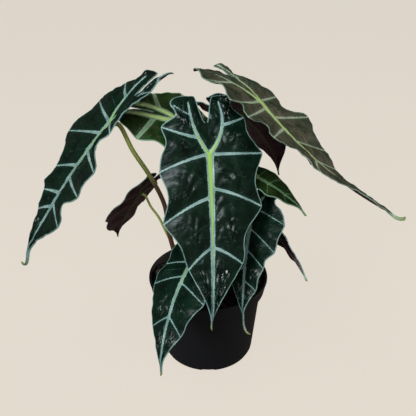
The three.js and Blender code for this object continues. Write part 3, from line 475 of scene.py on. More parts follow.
# Each leaf: the joint with its stalk, and in degrees the heading, dip and roll of its midrib there, then
# how far it droops, swings and twists towards the tip. The halves fold beside the midrib and curl, and the
# lobes bend back. A kick and a hook turn the tip sideways, a sag and a rise turn it down and up, and a
# thread makes it longer. Root is the stalk's distance and direction from the crown's middle, and path holds
# the points that it passes.
leaves = [
    {
        "name": "front", "finish": "deep", "at": (1, -42, 236), "heading": -83, "dip": 61, "roll": -11,
        "length": 147, "width": 43, "lobe": 51, "droop": 11, "swing": 2, "twist": -2, "foldPlus": 4,
        "foldMinus": 10, "curl": -13, "back": 22, "sweep": 1.4,
        "plus": {
            "ribEnd": 0.33, "ribReach": 0.86, "cap": 0.21, "lobeRound": 0.38, "bow": 0.07, "sinusBend": 0.4,
            "lobeStart": 0.32, "starts": [0.24, 0.52], "ends": [-0.47, 0.09, 0.38, 0.64],
            "edge": [0.72, 0.93, 0.83, 0.97, 0.85, 1.04, 0.84, 0.89, 0.92],
            "bumps": [(-0.84, 0.1, 0.13), (-0.64, 0.07, -0.08)], "lobeVeins": [(0.76, -0.84)],
        },
        "minus": {
            "ribEnd": 0.27, "ribReach": 0.86, "cap": 0.19, "lobeRound": 0.4, "bow": 0.12, "sinusBend": 0.8,
            "lobeStart": 0.55, "starts": [0.19, 0.52], "ends": [-0.6, 0, 0.3, 0.62],
            "edge": [0.66, 0.84, 0.8, 1.08, 0.87, 1.06, 0.77, 1.05, 1.0],
        },
        "root": (10.8, -70), "path": [(-5, -10, 140), (-1, -21, 195)],
    },
    {
        "name": "upper_left", "finish": "calm", "at": (-84, -11, 253), "heading": 208, "dip": 44, "roll": 3,
        "length": 157, "width": 45, "lobe": 61, "droop": 24, "swing": 16, "twist": 20, "foldPlus": 4,
        "foldMinus": 12, "curl": -2, "back": 20, "kick": -28, "hook": 150, "thread": 12, "neckDrop": 0.03,
        "dipRound": 2.4, "scallop": 1, "coreWidth": (1.4, -2.6), "veinWidth": (1.7, 0.6),
        "plus": {
            "ribEnd": 0.34, "ribReach": 0.84, "cap": 0.25, "lobeRound": 0.5, "bow": 0.02,
            "lobeStart": 0.5, "starts": [0.08, 0.3, 0.49, 0.585],
            "ends": [-0.6, -0.14, 0.22, 0.42, 0.58, 0.69],
            "edge": [0.66, 0.92, 0.86, 1.13, 0.98, 1.2, 0.7, 0.8, 0.78, 0.9, 0.75, 0.92, 0.92],
            "bumps": [(0.14, 0.07, 0.12), (0.36, 0.04, 0.06), (0.53, 0.04, 0.07)],
        },
        "minus": {
            "lobe": 66, "cap": 0.38, "bow": 0.04,
            "lobeStart": 0.55, "starts": [0.2, 0.38, 0.56], "ends": [-0.6, 0.04, 0.22, 0.37, 0.58],
            "edge": [0.6, 0.62, 0.6, 0.44, 0.46, 1.04, 1.08, 1.0, 0.76, 1.12, 0.98],
        },
        "root": (10.8, 170),
        "path": [(-31, 5, 104), (-38, 5, 130), (-41.7, 1.5, 167), (-53, -7, 201), (-66.6, -9, 226.6)],
    },
    {
        # its finish is a painted sheen on the face
        "name": "upper_right", "finish": "olive", "at": (45, 4, 267), "heading": -30, "dip": 43, "roll": -5,
        "length": 158, "width": 50, "lobe": 61, "droop": -29, "swing": 26, "twist": 24, "foldPlus": -4,
        "foldMinus": -5, "curl": 22, "back": 44, "bow": 0, "kick": 14, "hook": -60,
        "sag": 10, "rise": -75, "thread": 1, "dipRound": 2.6, "scallop": 1,
        "plus": {
            "lobeStart": 0.5, "starts": [0.05, 0.2, 0.45], "ends": [-0.62, -0.17, 0.06, 0.26, 0.56],
            "edge": [0.93, 1.04, 0.92, 1.08, 0.82, 1.0, 0.72, 1.13, 0.82, 0.98, 0.86],
            "bumps": [(0.88, 0.05, 2.3)],
        },
        "minus": {
            "lobeStart": 0.5, "starts": [0.12, 0.3, 0.46], "ends": [-0.65, 0.02, 0.2, 0.4, 0.52],
            "edge": [0.7, 0.42, 0.36, 0.68, 0.62, 1.16, 0.92, 0.99, 0.83, 0.85, 1.0], "bow": -0.11,
            "ribEnd": 0.27, "cap": 0.3, "lobeRound": 1.2, "lobe": 59, "ribReach": 0.94,
            "bumps": [(0.88, 0.05, 1.7)],
        },
        "root": (10.8, 15), "path": [(9, 2, 130), (20, -5, 195), (29, -10, 242)],
    },
    {
        # its finish is painted light, brighter colours for a leaf that lies in shade
        "name": "back_left", "finish": "shaded", "at": (-25, 20, 242), "heading": 26, "dip": 35, "roll": 57,
        "length": 114, "width": 37, "lobe": 45, "sinusBend": 2.5, "droop": 48, "swing": 8, "twist": 0,
        "foldPlus": 11, "foldMinus": -14, "curl": -11, "back": 58,
        "lobeRibWidth": (3.4, 2.4), "lobeCoreWidth": (2.0, 0.8), "veinWidth": (2.6, 1.8),
        "plus": halfLike(edge=[0.86, 0.97, 0.8, 1, 0.9, 1, 0.9, 1, 0.9], ribEnd=0.12, cap=0.2, bow=0.06,
                         lobe=58, ribReach=0.88),
        "minus": halfLike(edge=[0.92, 0.77, 0.8, 1.05, 0.9, 1, 0.9, 1, 0.9], ribEnd=0.15, cap=0.15, bow=0.04,
                          lobe=53, ribReach=0.9),
        "root": (10.8, 115), "path": [(-16, 18, 130), (-26, 24, 195)],
    },
    {
        "name": "back_right", "finish": "deep", "at": (18.4, 30, 250), "heading": 36, "dip": 24, "roll": -16,
        "length": 112, "width": 36, "lobe": 38, "droop": 50, "swing": -13, "twist": 3, "foldPlus": 15,
        "foldMinus": 7, "curl": -3, "back": -3, "minus": plainHalf,
        "plus": halfLike(edge=[0.9, 1, 0.9, 1, 0.85, 0.85, 0.8, 0.97, 1.12]),
        "root": (10.8, 65), "path": [(0, 16, 130), (9, 21, 195)],
    },
    {
        # its finish is partly painted light shining through the blade
        "name": "small_right", "finish": "fresh", "at": (42.4, -29, 209.2), "heading": -30, "dip": 15,
        "roll": 9, "length": 53.5, "width": 16.2, "lobe": 19.2, "droop": 26, "swing": 0, "twist": 15,
        "foldPlus": 8, "foldMinus": 8, "curl": -9, "back": 12, "veinWidth": (0.4, 0.1),
        "coreWidth": (0.2, -1.4),
        "plus": halfLike(edge=[0.9, 0.85, 0.75, 0.9, 0.9, 1, 0.9, 1, 0.9]),
        "minus": halfLike(edge=[0.9, 1, 0.82, 1, 0.95, 0.94, 0.82, 0.88, 0.9]),
        "root": (4, -60), "path": [(2.5, -5, 112), (8, -16, 135), (17, -26, 175)],
    },
    {
        "name": "lower_right", "finish": "calm", "at": (40, -29, 180), "heading": -109, "dip": 53,
        "roll": 11, "length": 105, "width": 29, "lobe": 30, "droop": 15, "swing": -6, "twist": -8,
        "foldPlus": 0, "foldMinus": 13, "curl": -10, "back": 12, "hook": -105, "thread": 11,
        "midribWidth": (2.8, 0.9), "veinWidth": (0.8, 0.4), "coreWidth": (0.6, -1.4),
        "plus": halfLike(edge=[0.9, 1, 0.9, 1, 0.9, 1, 0.9, 0.97, 0.8], bumps=[(0.95, 0.08, -0.6)]),
        "minus": {
            "lobeStart": 0.5, "starts": [0.18, 0.36, 0.62], "ends": [-0.54, 0.12, 0.36, 0.5, 0.69],
            "edge": [0.9, 0.98, 0.72, 1.14, 1.06, 1.04, 0.86, 0.84, 0.86, 1, 0.86],
            "bumps": [(0.95, 0.08, -0.6)],
        },
        "root": (10.8, -30), "path": [(9, -7, 112), (27, -12, 150)],
    },
    {
        "name": "lower_left", "finish": "calm", "at": (-15, -56, 140), "heading": -123, "dip": 32,
        "roll": 12, "length": 102, "width": 30, "lobe": 35, "droop": 40, "swing": -3, "twist": 0,
        "foldPlus": 3, "foldMinus": 1, "curl": -10, "back": 14, "midribWidth": (2.7, 0.9),
        "veinWidth": (0.9, 0.5), "coreWidth": (0.8, -1.5),
        "plus": {
            "lobeStart": 0.5, "starts": [0.14, 0.5], "ends": [-0.55, 0.07, 0.27, 0.62],
            "edge": [0.9, 1, 0.93, 0.9, 0.98, 1.05, 0.86, 0.97, 0.82],
        },
        "minus": halfLike(edge=[0.9, 1, 0.9, 1, 0.9, 1.05, 0.92, 1, 0.94]),
        "root": (10.8, -120), "path": [(-17, -13, 110), (-17, -31, 132)],
    },
    {
        "name": "small_left", "finish": "deep", "at": (-66, 19, 171.2), "heading": 156, "dip": 52, "roll": 4,
        "length": 88, "width": 28.6, "lobe": 32.8, "droop": 7, "swing": 26, "twist": -9, "foldPlus": 3,
        "foldMinus": 10, "curl": -6, "back": 5, "neckDrop": 0.02, "backSwing": -32, "dipRound": 2.4,
        "scallop": 1,
        "plus": halfLike(edge=[0.9, 1, 0.87, 1, 1.08, 0.86, 0.86, 1.02, 0.92], ribEnd=0.16, cap=0.1,
                         lobeRound=0.4, ribReach=0.86, lobe=30),
        "minus": halfLike(edge=[0.86, 0.96, 0.9, 0.9, 1.02, 1.14, 0.9, 1.1, 0.9], lobe=30),
        "root": (4, 180), "path": [(-28, 8.6, 106), (-38, 11.6, 121), (-49, 13, 147), (-56.5, 15, 158)],
    },
    {
        "name": "thin_right", "finish": "deep", "at": (51, 0, 159), "heading": -52, "dip": 27, "roll": -63,
        "length": 79, "width": 23, "lobe": 28, "droop": 9, "swing": 1, "twist": -2, "foldPlus": 13,
        "foldMinus": 13, "curl": -31, "back": 12, "plus": plainHalf,
        "minus": halfLike(edge=[0.9, 1, 0.9, 1, 0.9, 1.06, 0.9, 1, 0.9]),
        "root": (4, 60), "path": [(4, 9, 112), (26, 7, 140)],
    },
]


def setting(leaf, half, key):
    return half.get(key, leaf.get(key, bladeForm[key]))


def mainWidth(x):
    return (1 - x ** bladeForm["belly"]) ** bladeForm["taper"] + bladeForm["neck"] * (1 - x)


def lobeWidth(leaf, half, x):
    swell = (1 - x ** setting(leaf, half, "lobeBelly")) ** setting(leaf, half, "lobeRound")
    return mixed(setting(leaf, half, "cap"), bladeForm["shoulder"], swell)


def lobeLength(leaf, half):
    return half.get("lobe", leaf["lobe"])


def edgeFactor(leaf, half, x):
    ends = np.array([-1, *half["ends"], 1])
    widths = np.array([1, *half["edge"][1::2], 1])
    dips = np.array(half["edge"][0::2])
    k = np.clip(np.searchsorted(ends, x, side="right") - 1, 0, len(ends) - 2)
    t = np.clip((x - ends[k]) / (ends[k + 1] - ends[k]), 0, 1)
    dip = dips[k] - (widths[k] + widths[k + 1]) / 2
    turned = mixed(t, smoothStep(0, 1, t), setting(leaf, half, "scallop"))
    hollow = np.sin(np.pi * t) ** setting(leaf, half, "dipRound")
    factor = mixed(widths[k], widths[k + 1], turned) + dip * hollow
    for place, spread, amount in half.get("bumps", ()):
        factor = factor + amount * np.exp(-(((x - place) / spread) ** 2))
    return factor


def edgePoints(leaf, half, x):
    # flat points [along, across] of the edge, where x runs from -1 at the lobe's end to 1 at the tip
    x = np.asarray(x, float)
    ahead, behind = np.clip(x, 0, 1), np.clip(-x, 0, 1)
    plain = np.where(x >= 0, mainWidth(ahead), lobeWidth(leaf, half, behind))
    across = plain * edgeFactor(leaf, half, x) * leaf["width"]
    across = np.maximum(across, np.where(x < 1, bladeForm["tipHalfWidth"], 0))
    return np.stack([np.where(x >= 0, x * leaf["length"], x * lobeLength(leaf, half)), across], -1)


def lobeRibPoints(leaf, half, place):
    place = np.asarray(place, float)
    width = setting(leaf, half, "ribEnd") * place ** bladeForm["ribBend"]
    width = width + setting(leaf, half, "bow") * np.sin(np.pi * place)
    reach = setting(leaf, half, "ribReach") * lobeLength(leaf, half)
    return np.stack([-place * reach, width * leaf["width"]], -1)


def sinusPoints(leaf, half, inner):
    # the cleft's edge, from the joint back to the lobe's end
    share = bladeForm["sinusShare"]
    inner = np.asarray(inner, float)
    t = np.maximum(0, (inner - share) / (1 - share))
    bend = 1 - np.sqrt(np.maximum(0, 1 - t ** 4))
    width = mixed(bend, t, setting(leaf, half, "sinusStraight")) ** setting(leaf, half, "sinusBend")
    base = share * leaf["lobe"]
    along = np.minimum(inner, share) * leaf["lobe"] + t * (lobeLength(leaf, half) - base)
    return np.stack([-along, setting(leaf, half, "cap") * width * leaf["width"]], -1)


def stationsBetween(knots, length):
    # the knots, filled in at about one row's spacing
    places = []
    for low, high in zip(knots[:-1], knots[1:]):
        count = max(1, round((high - low) * length / bladeForm["rowSpacing"]))
        places += [low + (high - low) * i / count for i in range(count)]
    return np.array(places + [knots[-1]])


def rowGrid(starts, stops, shares, sweep):
    along = mixed(starts[:, None, 0], stops[:, None, 0], shares[None, :] ** sweep)
    across = mixed(starts[:, None, 1], stops[:, None, 1], shares[None, :])
    return np.stack([along, across], -1)


def distanceTo(points, line, widths):
    # distance from each flat point to a line, and the same less the line's own half width there
    best = np.full(len(points), np.inf)
    gap = np.full(len(points), np.inf)
    tiny = 1e-9
    for i in range(len(line) - 1):
        step = line[i + 1] - line[i]
        t = np.clip(((points - line[i]) @ step) / max(step @ step, tiny), 0, 1)
        far = np.linalg.norm(points - line[i] - t[:, None] * step, axis=1)
        gap = np.minimum(gap, far - mixed(widths[i], widths[i + 1], t))
        best = np.minimum(best, far)
    return best, gap


def taperedLine(line, ends, power=1.0):
    return line, mixed(ends[0], ends[1], np.linspace(0, 1, len(line)) ** power)


def veinsOf(leaf, half, starts, ends):
    # one half's drawn lines: veins, thin veins, and the lobe's rib with the midrib
    form = bladeForm
    size = min(1.0, form["smallShare"] + leaf["length"] / form["fullLength"])
    veinEnds, thinEnds, lobeEnds, midEnds = (
        [c * size for c in setting(leaf, half, key)]
        for key in ("veinWidth", "thinWidth", "lobeRibWidth", "midribWidth")
    )
    sweep = setting(leaf, half, "sweep")
    run = np.linspace(0, 1, form["veinSteps"])

    def veinLine(begin, x, widths, reach=1.0):
        stop = edgePoints(leaf, half, x)
        along = mixed(begin[0], stop[0], (run * reach) ** sweep)
        return taperedLine(np.stack([along, mixed(begin[1], stop[1], run * reach)], -1), widths)

    veins, thinVeins = [], []
    for i in range(len(starts) - 1):
        begin = (starts[i] * leaf["length"], 0)
        veins.append(veinLine(begin, ends[i], veinEnds))
        middle = ((starts[i] + starts[i + 1]) / 2 * leaf["length"], 0)
        thinVeins.append(veinLine(middle, (ends[i] + ends[i + 1]) / 2, thinEnds, form["thinReach"]))
    lobeStart, firstEnds = half["lobeStart"], half["ends"]
    veins.append(veinLine(lobeRibPoints(leaf, half, lobeStart), firstEnds[0], veinEnds))
    for place, x in half.get("lobeVeins", ()):
        begin = lobeRibPoints(leaf, half, place)
        veins.append(veinLine(begin, x, [veinEnds[1]] * 2, form["lobeVeinReach"]))
    low = lobeRibPoints(leaf, half, lobeStart / 2)
    thinVeins.append(veinLine(low, (firstEnds[0] + firstEnds[1]) / 2, thinEnds, form["lobeThinReach"]))
    ribRun = np.linspace(0, 1, form["ribSteps"])
    lobeRib = taperedLine(lobeRibPoints(leaf, half, ribRun), lobeEnds)
    midLine = np.stack([ribRun * leaf["length"], np.zeros_like(ribRun)], -1)
    return veins, thinVeins, [lobeRib, taperedLine(midLine, midEnds, form["midribTaper"])]


def lobeRows(leaf, half):
    # rows of the lobe, from the joint to the lobe vein and then on to the lobe's end
    form = bladeForm
    lengths = [leaf["lobe"] * share for share in form["lobeRows"]]
    counts = [max(form["leastRows"], round(length / form["rowSpacing"])) for length in lengths]
    t = np.concatenate([np.arange(counts[0]) / counts[0], 1 + np.arange(counts[1] + 1) / counts[1]])
    first = t < 1
    local = np.where(first, t, t - 1)
    fanned = mixed(half["lobeStart"], 1, np.minimum(1, local / form["fanShare"]))
    place = np.where(first, local * half["lobeStart"], fanned)
    inner = np.where(first, local * form["sinusShare"], mixed(form["sinusShare"], 1, local))
    toVein = mixed(half["ends"][1], half["ends"][0], local)
    toEnd = mixed(half["ends"][0], -1, np.sin(local * np.pi / 2))
    outer = edgePoints(leaf, half, np.where(first, toVein, toEnd))
    cleft = sinusPoints(leaf, half, inner)
    outer[-1] = cleft[-1]
    return place, local, outer, cleft


def patchOf(leaf, grid, rowPhase, rowFade, shares, flip):
    # one grid as flat points and quads, with the relief of its puffs, waves and folds
    rows, columns = grid.shape[:2]
    index = np.arange(rows * columns).reshape(rows, columns)
    quads = np.stack([index[:-1, :-1], index[:-1, 1:], index[1:, 1:], index[1:, :-1]], -1).reshape(-1, 4)
    share = np.tile(shares, rows)
    phase, fade = np.repeat(rowPhase, columns), np.repeat(rowFade, columns)
    dome = np.sin(np.pi * phase) * np.sin(np.pi * share)
    wave = -(share ** 2) * np.cos(2 * np.pi * phase)
    folds = phase * bladeForm["ripples"] + bladeForm["foldSway"] * np.sin(share * bladeForm["foldTurns"])
    ripple = np.sin(2 * np.pi * folds) * np.sin(np.pi * phase) * np.sin(np.pi * share)
    height = bladeForm["puff"] * dome + bladeForm["wave"] * wave + bladeForm["ripple"] * ripple
    height = height * fade * leaf["length"] / bladeForm["usualLength"]
    flat = grid.reshape(-1, 2) * flip
    corners = flat[quads]
    following = np.roll(corners, -1, axis=1)
    area = np.sum(corners[..., 0] * following[..., 1] - following[..., 0] * corners[..., 1])
    return flat, quads if area < 0 else quads[:, ::-1], height, share


def halfSheet(leaf, half, side, stations):
    # patches of one half, then its drawn lines and its edges
    starts = np.array([0, *half["starts"], 1])
    ends = np.array([*half["ends"][1:], 1])
    k = np.clip(np.searchsorted(starts, stations, side="right") - 1, 0, len(starts) - 2)
    phase = (stations - starts[k]) / (starts[k + 1] - starts[k])
    edgeX = mixed(ends[k], ends[k + 1], phase)
    shares = np.linspace(0, 1, bladeForm["columns"] + 1) ** bladeForm["columnBend"]
    sweep = setting(leaf, half, "sweep")
    mid = np.stack([stations * leaf["length"], np.zeros_like(stations)], -1)
    place, local, outer, cleft = lobeRows(leaf, half)
    rib = lobeRibPoints(leaf, half, place)
    cleftFade = bladeForm["cleftRelief"] * smoothStep(0, bladeForm["cleftFade"], place)
    grids = [
        (rowGrid(mid, edgePoints(leaf, half, edgeX), shares, sweep), phase, np.ones(len(phase))),
        (rowGrid(rib, outer, shares, sweep), local, np.ones(len(local))),
        (rowGrid(rib, cleft, shares, sweep), local, cleftFade),
    ]
    flip = np.array([1, side])
    patches = [patchOf(leaf, *grid, shares, flip) for grid in grids]
    drawnLines = [[(line * flip, w) for line, w in kind] for kind in veinsOf(leaf, half, starts, ends)]
    openCleft = cleft[cleft[:, 1] > bladeForm["onMidrib"]]
    edges = [edgePoints(leaf, half, np.append(edgeX, 1.0)), outer, openCleft]
    return patches, *drawnLines, [line * flip for line in edges]


def flatSheet(leaf):
    # the whole blade laid flat: points, faces and the fields that shape and colour it
    knots = sorted({0.0, 1.0, *leaf["plus"]["starts"], *leaf["minus"]["starts"]})
    stations = stationsBetween(knots, leaf["length"])
    points, faces = [], []
    keys = ("height", "share", "veinGap", "thinGap", "coreGap", "marginGap", "ribNear", "veinNear")
    fields = {key: [] for key in keys}
    offset = 0
    for side, half in ((1, leaf["plus"]), (-1, leaf["minus"])):
        patches, veins, thinVeins, ribs, edges = halfSheet(leaf, half, side, stations)
        cores = []
        for line, _ in ribs:
            isMidrib = abs(line[-1, 1]) < bladeForm["onMidrib"]
            ends = setting(leaf, half, "coreWidth" if isMidrib else "lobeCoreWidth")
            cores.append(taperedLine(line, ends))
        margins = [(line, np.zeros(len(line))) for line in edges]
        for flat, quads, height, share in patches:
            veinNear, veinGap = np.min([distanceTo(flat, *line) for line in veins], axis=0)
            ribNear, ribGap = np.min([distanceTo(flat, *line) for line in ribs], axis=0)
            thinGap, coreGap, marginGap = (
                np.min([distanceTo(flat, *line)[1] for line in kind], axis=0)
                for kind in (thinVeins, cores, margins)
            )
            points.append(flat)
            faces.append(quads + offset)
            lineGap = np.minimum(veinGap, ribGap)
            values = (height, share, lineGap, thinGap, coreGap, marginGap, ribNear, veinNear)
            for key, value in zip(keys, values):
                fields[key].append(value)
            offset += len(flat)
    points = np.concatenate(points)
    places = np.round(points, bladeForm["mergeDigits"]) + 0.0
    _, first, index = np.unique(places, axis=0, return_index=True, return_inverse=True)
    faces = index.ravel()[np.concatenate(faces)]
    return points[first], faces, {key: np.concatenate(value)[first] for key, value in fields.items()}


def turnAbout(axis, angle):
    c, s = math.cos(angle), math.sin(angle)
    rows = {
        "x": [[1, 0, 0], [0, c, -s], [0, s, c]],
        "y": [[c, 0, s], [0, 1, 0], [-s, 0, c]],
        "z": [[c, -s, 0], [s, c, 0], [0, 0, 1]],
    }
    return np.array(rows[axis])


def unit(v):
    return v / np.linalg.norm(v)


def junctionOf(leaf):
    # where the stalk joins the blade, with the blade's directions there: along, right and out of its face
    heading, dip, roll = (math.radians(leaf[key]) for key in ("heading", "dip", "roll"))
    flat = math.cos(dip)
    along = np.array([math.cos(heading) * flat, math.sin(heading) * flat, -math.sin(dip)])
    level = unit(np.array([0, 0, 1]) + math.sin(dip) * along)
    normal = math.cos(roll) * level + math.sin(roll) * np.cross(along, level)
    return np.array(leaf["at"], float), along, np.cross(along, normal), normal


def tipTurn(u, kick, hook):
    # a kick one way, then the hook the other way, as a running total over the tip
    late = max(0.0, (u - bladeForm["kickShare"]) / (1 - bladeForm["kickShare"]))
    return math.radians(kick * min(1.0, u / bladeForm["kickShare"]) + hook * late ** 2)


def walkAxis(leaf, count, reach, turns, hooked=False):
    # places and frames along the blade from its joint, turning a little at each step
    place, along, right, normal = junctionOf(leaf)
    basis = np.stack([along, right, normal], -1)
    stations = [(0.0, place.copy(), basis.copy())]
    parts = [turnAbout(axis, math.radians(angle) / count) for axis, angle in zip("yzx", turns)]
    turn = parts[0] @ parts[1] @ parts[2]
    thread = leaf.get("thread", 0)
    for i in range(1, count + 1):
        before = basis[:, 0].copy()
        basis = basis @ turn
        inTip = [max(0.0, 1 - (count - j) / (count * bladeForm["hookShare"])) for j in (i - 1, i)]
        if hooked and inTip[1]:
            for axis, kick, hook in (("z", "kick", "hook"), ("y", "sag", "rise")):
                values = (leaf.get(kick, 0), leaf.get(hook, 0))
                basis = basis @ turnAbout(axis, tipTurn(inTip[1], *values) - tipTurn(inTip[0], *values))
        step = (reach + (thread / bladeForm["hookShare"] if hooked and inTip[1] else 0)) / count
        place = place + step * unit(before + basis[:, 0])
        stations.append((reach * i / count, place.copy(), basis.copy()))
    return stations


def axisOf(leaf):
    # the blade's axis, from behind its lobes to the tip
    forwardTurns = (leaf["droop"], leaf["swing"], leaf["twist"])
    backTurns = (-leaf["back"], leaf.get("backSwing", 0), 0)
    forward = walkAxis(leaf, bladeForm["steps"], leaf["length"], forwardTurns, True)
    backward = walkAxis(leaf, bladeForm["backSteps"], -bladeForm["backReach"] * leaf["length"], backTurns)
    stations = backward[:0:-1] + forward
    return [np.array(column) for column in zip(*stations)]


def bendSheet(leaf, points, height):
    # the flat sheet bent along the axis, with its V fold and curl
    reach, places, frames = axisOf(leaf)
    along, across = points[:, 0], points[:, 1]
    k = np.clip(np.searchsorted(reach, along, side="left") - 1, 0, len(reach) - 2)
    t = ((along - reach[k]) / (reach[k + 1] - reach[k]))[:, None]
    place = mixed(places[k], places[k + 1], t)
    right = mixed(frames[k, :, 1], frames[k + 1, :, 1], t)
    normal = mixed(frames[k, :, 2], frames[k + 1, :, 2], t)
    fold = np.radians(np.where(across > 0, leaf["foldPlus"], leaf["foldMinus"]))
    curl = math.radians(leaf["curl"]) / leaf["width"]
    angle = fold + curl * np.abs(across)
    out = (np.sin(angle) - np.sin(fold)) / curl
    up = (np.cos(fold) - np.cos(angle)) / curl
    # the fold starts softly beside the midrib
    tilt = angle * smoothStep(0, bladeForm["ribHalfWidth"], np.abs(across))
    sideways = np.sign(across) * (out - height * np.sin(tilt))
    return place + right * sideways[:, None] + normal * (up + height * np.cos(tilt))[:, None]


def crumplesOf(leaf, points, seed):
    form = bladeForm
    size, (first, second) = form["crumpleSize"], form["crumpleStretch"]
    fine, fineSeed = form["fineSize"], seed + form["fineSeed"]
    coarse = [noise.noise(Vector((p[0] / size * first, p[1] / size * second, seed))) for p in points]
    small = [noise.noise(Vector((p[0] / size * fine, p[1] / size * fine, fineSeed))) for p in points]
    height = np.array(coarse) + form["fineCrumple"] * np.array(small)
    return height * form["crumple"] * leaf["length"] / form["usualLength"]


def sheetHeights(leaf, points, fields, seed):
    # heights of the upper and the under face, with the ribs and veins raised on them
    form = bladeForm
    taper = np.where(points[:, 0] >= 0, points[:, 0] / leaf["length"], -points[:, 0] / leaf["lobe"])
    taper = mixed(1, form["ribLeft"], np.clip(taper, 0, 1))
    rib = np.exp(-((fields["ribNear"] / (form["ribHalfWidth"] * form["ribSpread"])) ** 2))
    vein = np.exp(-((fields["veinNear"] / form["veinHalfWidth"]) ** 2)) * (1 - fields["share"])
    clear = smoothStep(*form["crumpleClear"], np.minimum(fields["veinNear"], fields["ribNear"]))
    sheet = fields["height"] + crumplesOf(leaf, points, seed) * clear
    top = sheet + form["ribHeight"] * taper * rib
    return top, sheet - form["thickness"] - form["ribDepth"] * taper * rib - form["veinDepth"] * vein


def bladeFaces(faces, count):
    # faces of the upper sheet, the rim and the under sheet, whose vertices follow the upper ones
    top = []
    for quad in faces:
        ring = [int(v) for i, v in enumerate(quad) if v != quad[i - 1]]
        if len(ring) > 2:
            top.append(ring)
    edges = {(a, face[(i + 1) % len(face)]): True for face in top for i, a in enumerate(face)}
    rim = [(b, a, a + count, b + count) for a, b in edges if (b, a) not in edges]
    return top, rim, [[v + count for v in face[::-1]] for face in top]


def makeBlade(leaf):
    points, faces, fields = flatSheet(leaf)
    seed = sum(leaf["at"])
    sheets = [bendSheet(leaf, points, height) for height in sheetHeights(leaf, points, fields, seed)]
    top, rim, under = bladeFaces(faces, len(points))
    mesh = bpy.data.meshes.new("blade " + leaf["name"])
    mesh.from_pydata(np.concatenate(sheets) * mm, [], top + rim + under)
    mesh.polygons.foreach_set("use_smooth", [True] * len(mesh.polygons))
    mesh.polygons.foreach_set("material_index", [0] * (len(top) + len(rim)) + [1] * len(under))
    fields["tipShare"] = smoothStep(bladeForm["tipFrom"], 1, points[:, 0] / leaf["length"])
    for key in ("veinGap", "thinGap", "coreGap", "marginGap", "tipShare"):
        addLayer(mesh, key, np.tile(fields[key], 2))
    corners = np.zeros(len(mesh.loops), dtype=np.int32)
    mesh.loops.foreach_get("vertex_index", corners)
    # each leaf takes its pattern from another place
    flat = np.tile(points, (2, 1))[corners] / bladeForm["patternScale"] + seed % bladeForm["patternShift"]
    mesh.uv_layers.new(name="flat").data.foreach_set("uv", flat.astype(np.float32).ravel())
    mesh.validate()
    mesh.update()
    piece = bpy.data.objects.new("blade_" + leaf["name"] + "_full", mesh)
    scene.collection.objects.link(piece)
    mesh.materials.append(upperMaterials[leaf["finish"]])
    mesh.materials.append(underMaterial)
    smoothByAngle(piece, bladeForm["smoothAngle"])
    return finishPiece(piece, "blade_" + leaf["name"])


for leaf in leaves:
    makeBlade(leaf)
print("blades made:", len(leaves))


crownSettings = {
    "x": -8, "y": 3, "radius": 15.4, "foot": 66, "top": 86, "chamfer": 2, "holeDepth": 5, "sides": 64,
    "bandFoot": 2, "bands": 13, "bandDepth": 0.6, "bandTurn": 3,  # old leaf scars round the crown
    "shoulders": [(0.9, -5), (1.4, -1.6), (2.4, -0.4), (4, 0)],  # in from the radius, height over the top
    "dome": [(8, 0.6), (3, 0.9)],  # radius, height over the top
    "ridge": 0.35, "ridgeTurns": 9, "ridgeLength": 14, "smoothAngle": 50, "gloss": 0.3,
    "dark": tint(24, 17, 13), "pale": tint(66, 48, 34), "roughness": (0.6, 0.85),
    "fibres": (900, 4.0, 0.65), "fibreStretch": (1, 1, 0.1), "bump": (0.6, 0.9),
}
stalkSettings = {
    "baseRadius": 2.7, "neckRadius": 1.9, "radiusBend": 0.6, "flare": 0.45, "flareShare": 14, "lean": 0.12,
    "rise": 3, "slimShare": 0.55, "fullLength": 300, "neckDrop": 0.09, "neckBack": 0.02, "gap": 0.3,
    "steps": 70, "roundness": 5, "denseSteps": 40, "weldBelow": 0.001, "smoothAngle": 60,
    "green": tint(124, 134, 62), "pale": tint(150, 158, 86), "brown": tint(92, 66, 48),
    "dark": tint(52, 36, 28),
    "streaks": (900, 3.0, 0.6), "streakStretch": (1, 1, 0.12), "spots": (260, 3.0, 0.6), "spotShare": 0.5,
    "brownCut": (0.2, 0.8), "gloss": 0.45, "coat": 0.1, "coatRoughness": 0.3, "roughness": (0.34, 0.55),
    "bump": (0.12, 0.5),
    "brownTo": {"upper_left": 0.68, "small_left": -0.3}, "usualBrownTo": 0.5,  # share from the foot
    "brownBlend": 0.3,
    "slim": {"small_left": 0.72},
}


def stalkPoints(leaf, form):
    ring, turn = leaf["root"]
    outward = np.array([math.cos(math.radians(turn)), math.sin(math.radians(turn)), 0])
    holeFoot = crownSettings["top"] - crownSettings["holeDepth"]
    foot = np.array([crownSettings["x"], crownSettings["y"], holeFoot]) + outward * ring
    neck = foot + outward * form["lean"] * ring
    neck[2] = crownSettings["top"] + form["rise"]
    place, along, _, normal = junctionOf(leaf)
    fold = math.radians(max(0, -leaf["foldPlus"], -leaf["foldMinus"]))
    below = bladeForm["thickness"] + bladeForm["ribDepth"] + form["gap"]
    below = below + form["baseRadius"] * math.sin(fold)
    end = place - normal * below
    drop = leaf.get("neckDrop", form["neckDrop"])
    before = end - normal * drop * leaf["length"] - along * form["neckBack"] * leaf["length"]
    return np.array([foot, neck, *leaf["path"], before, end], float)


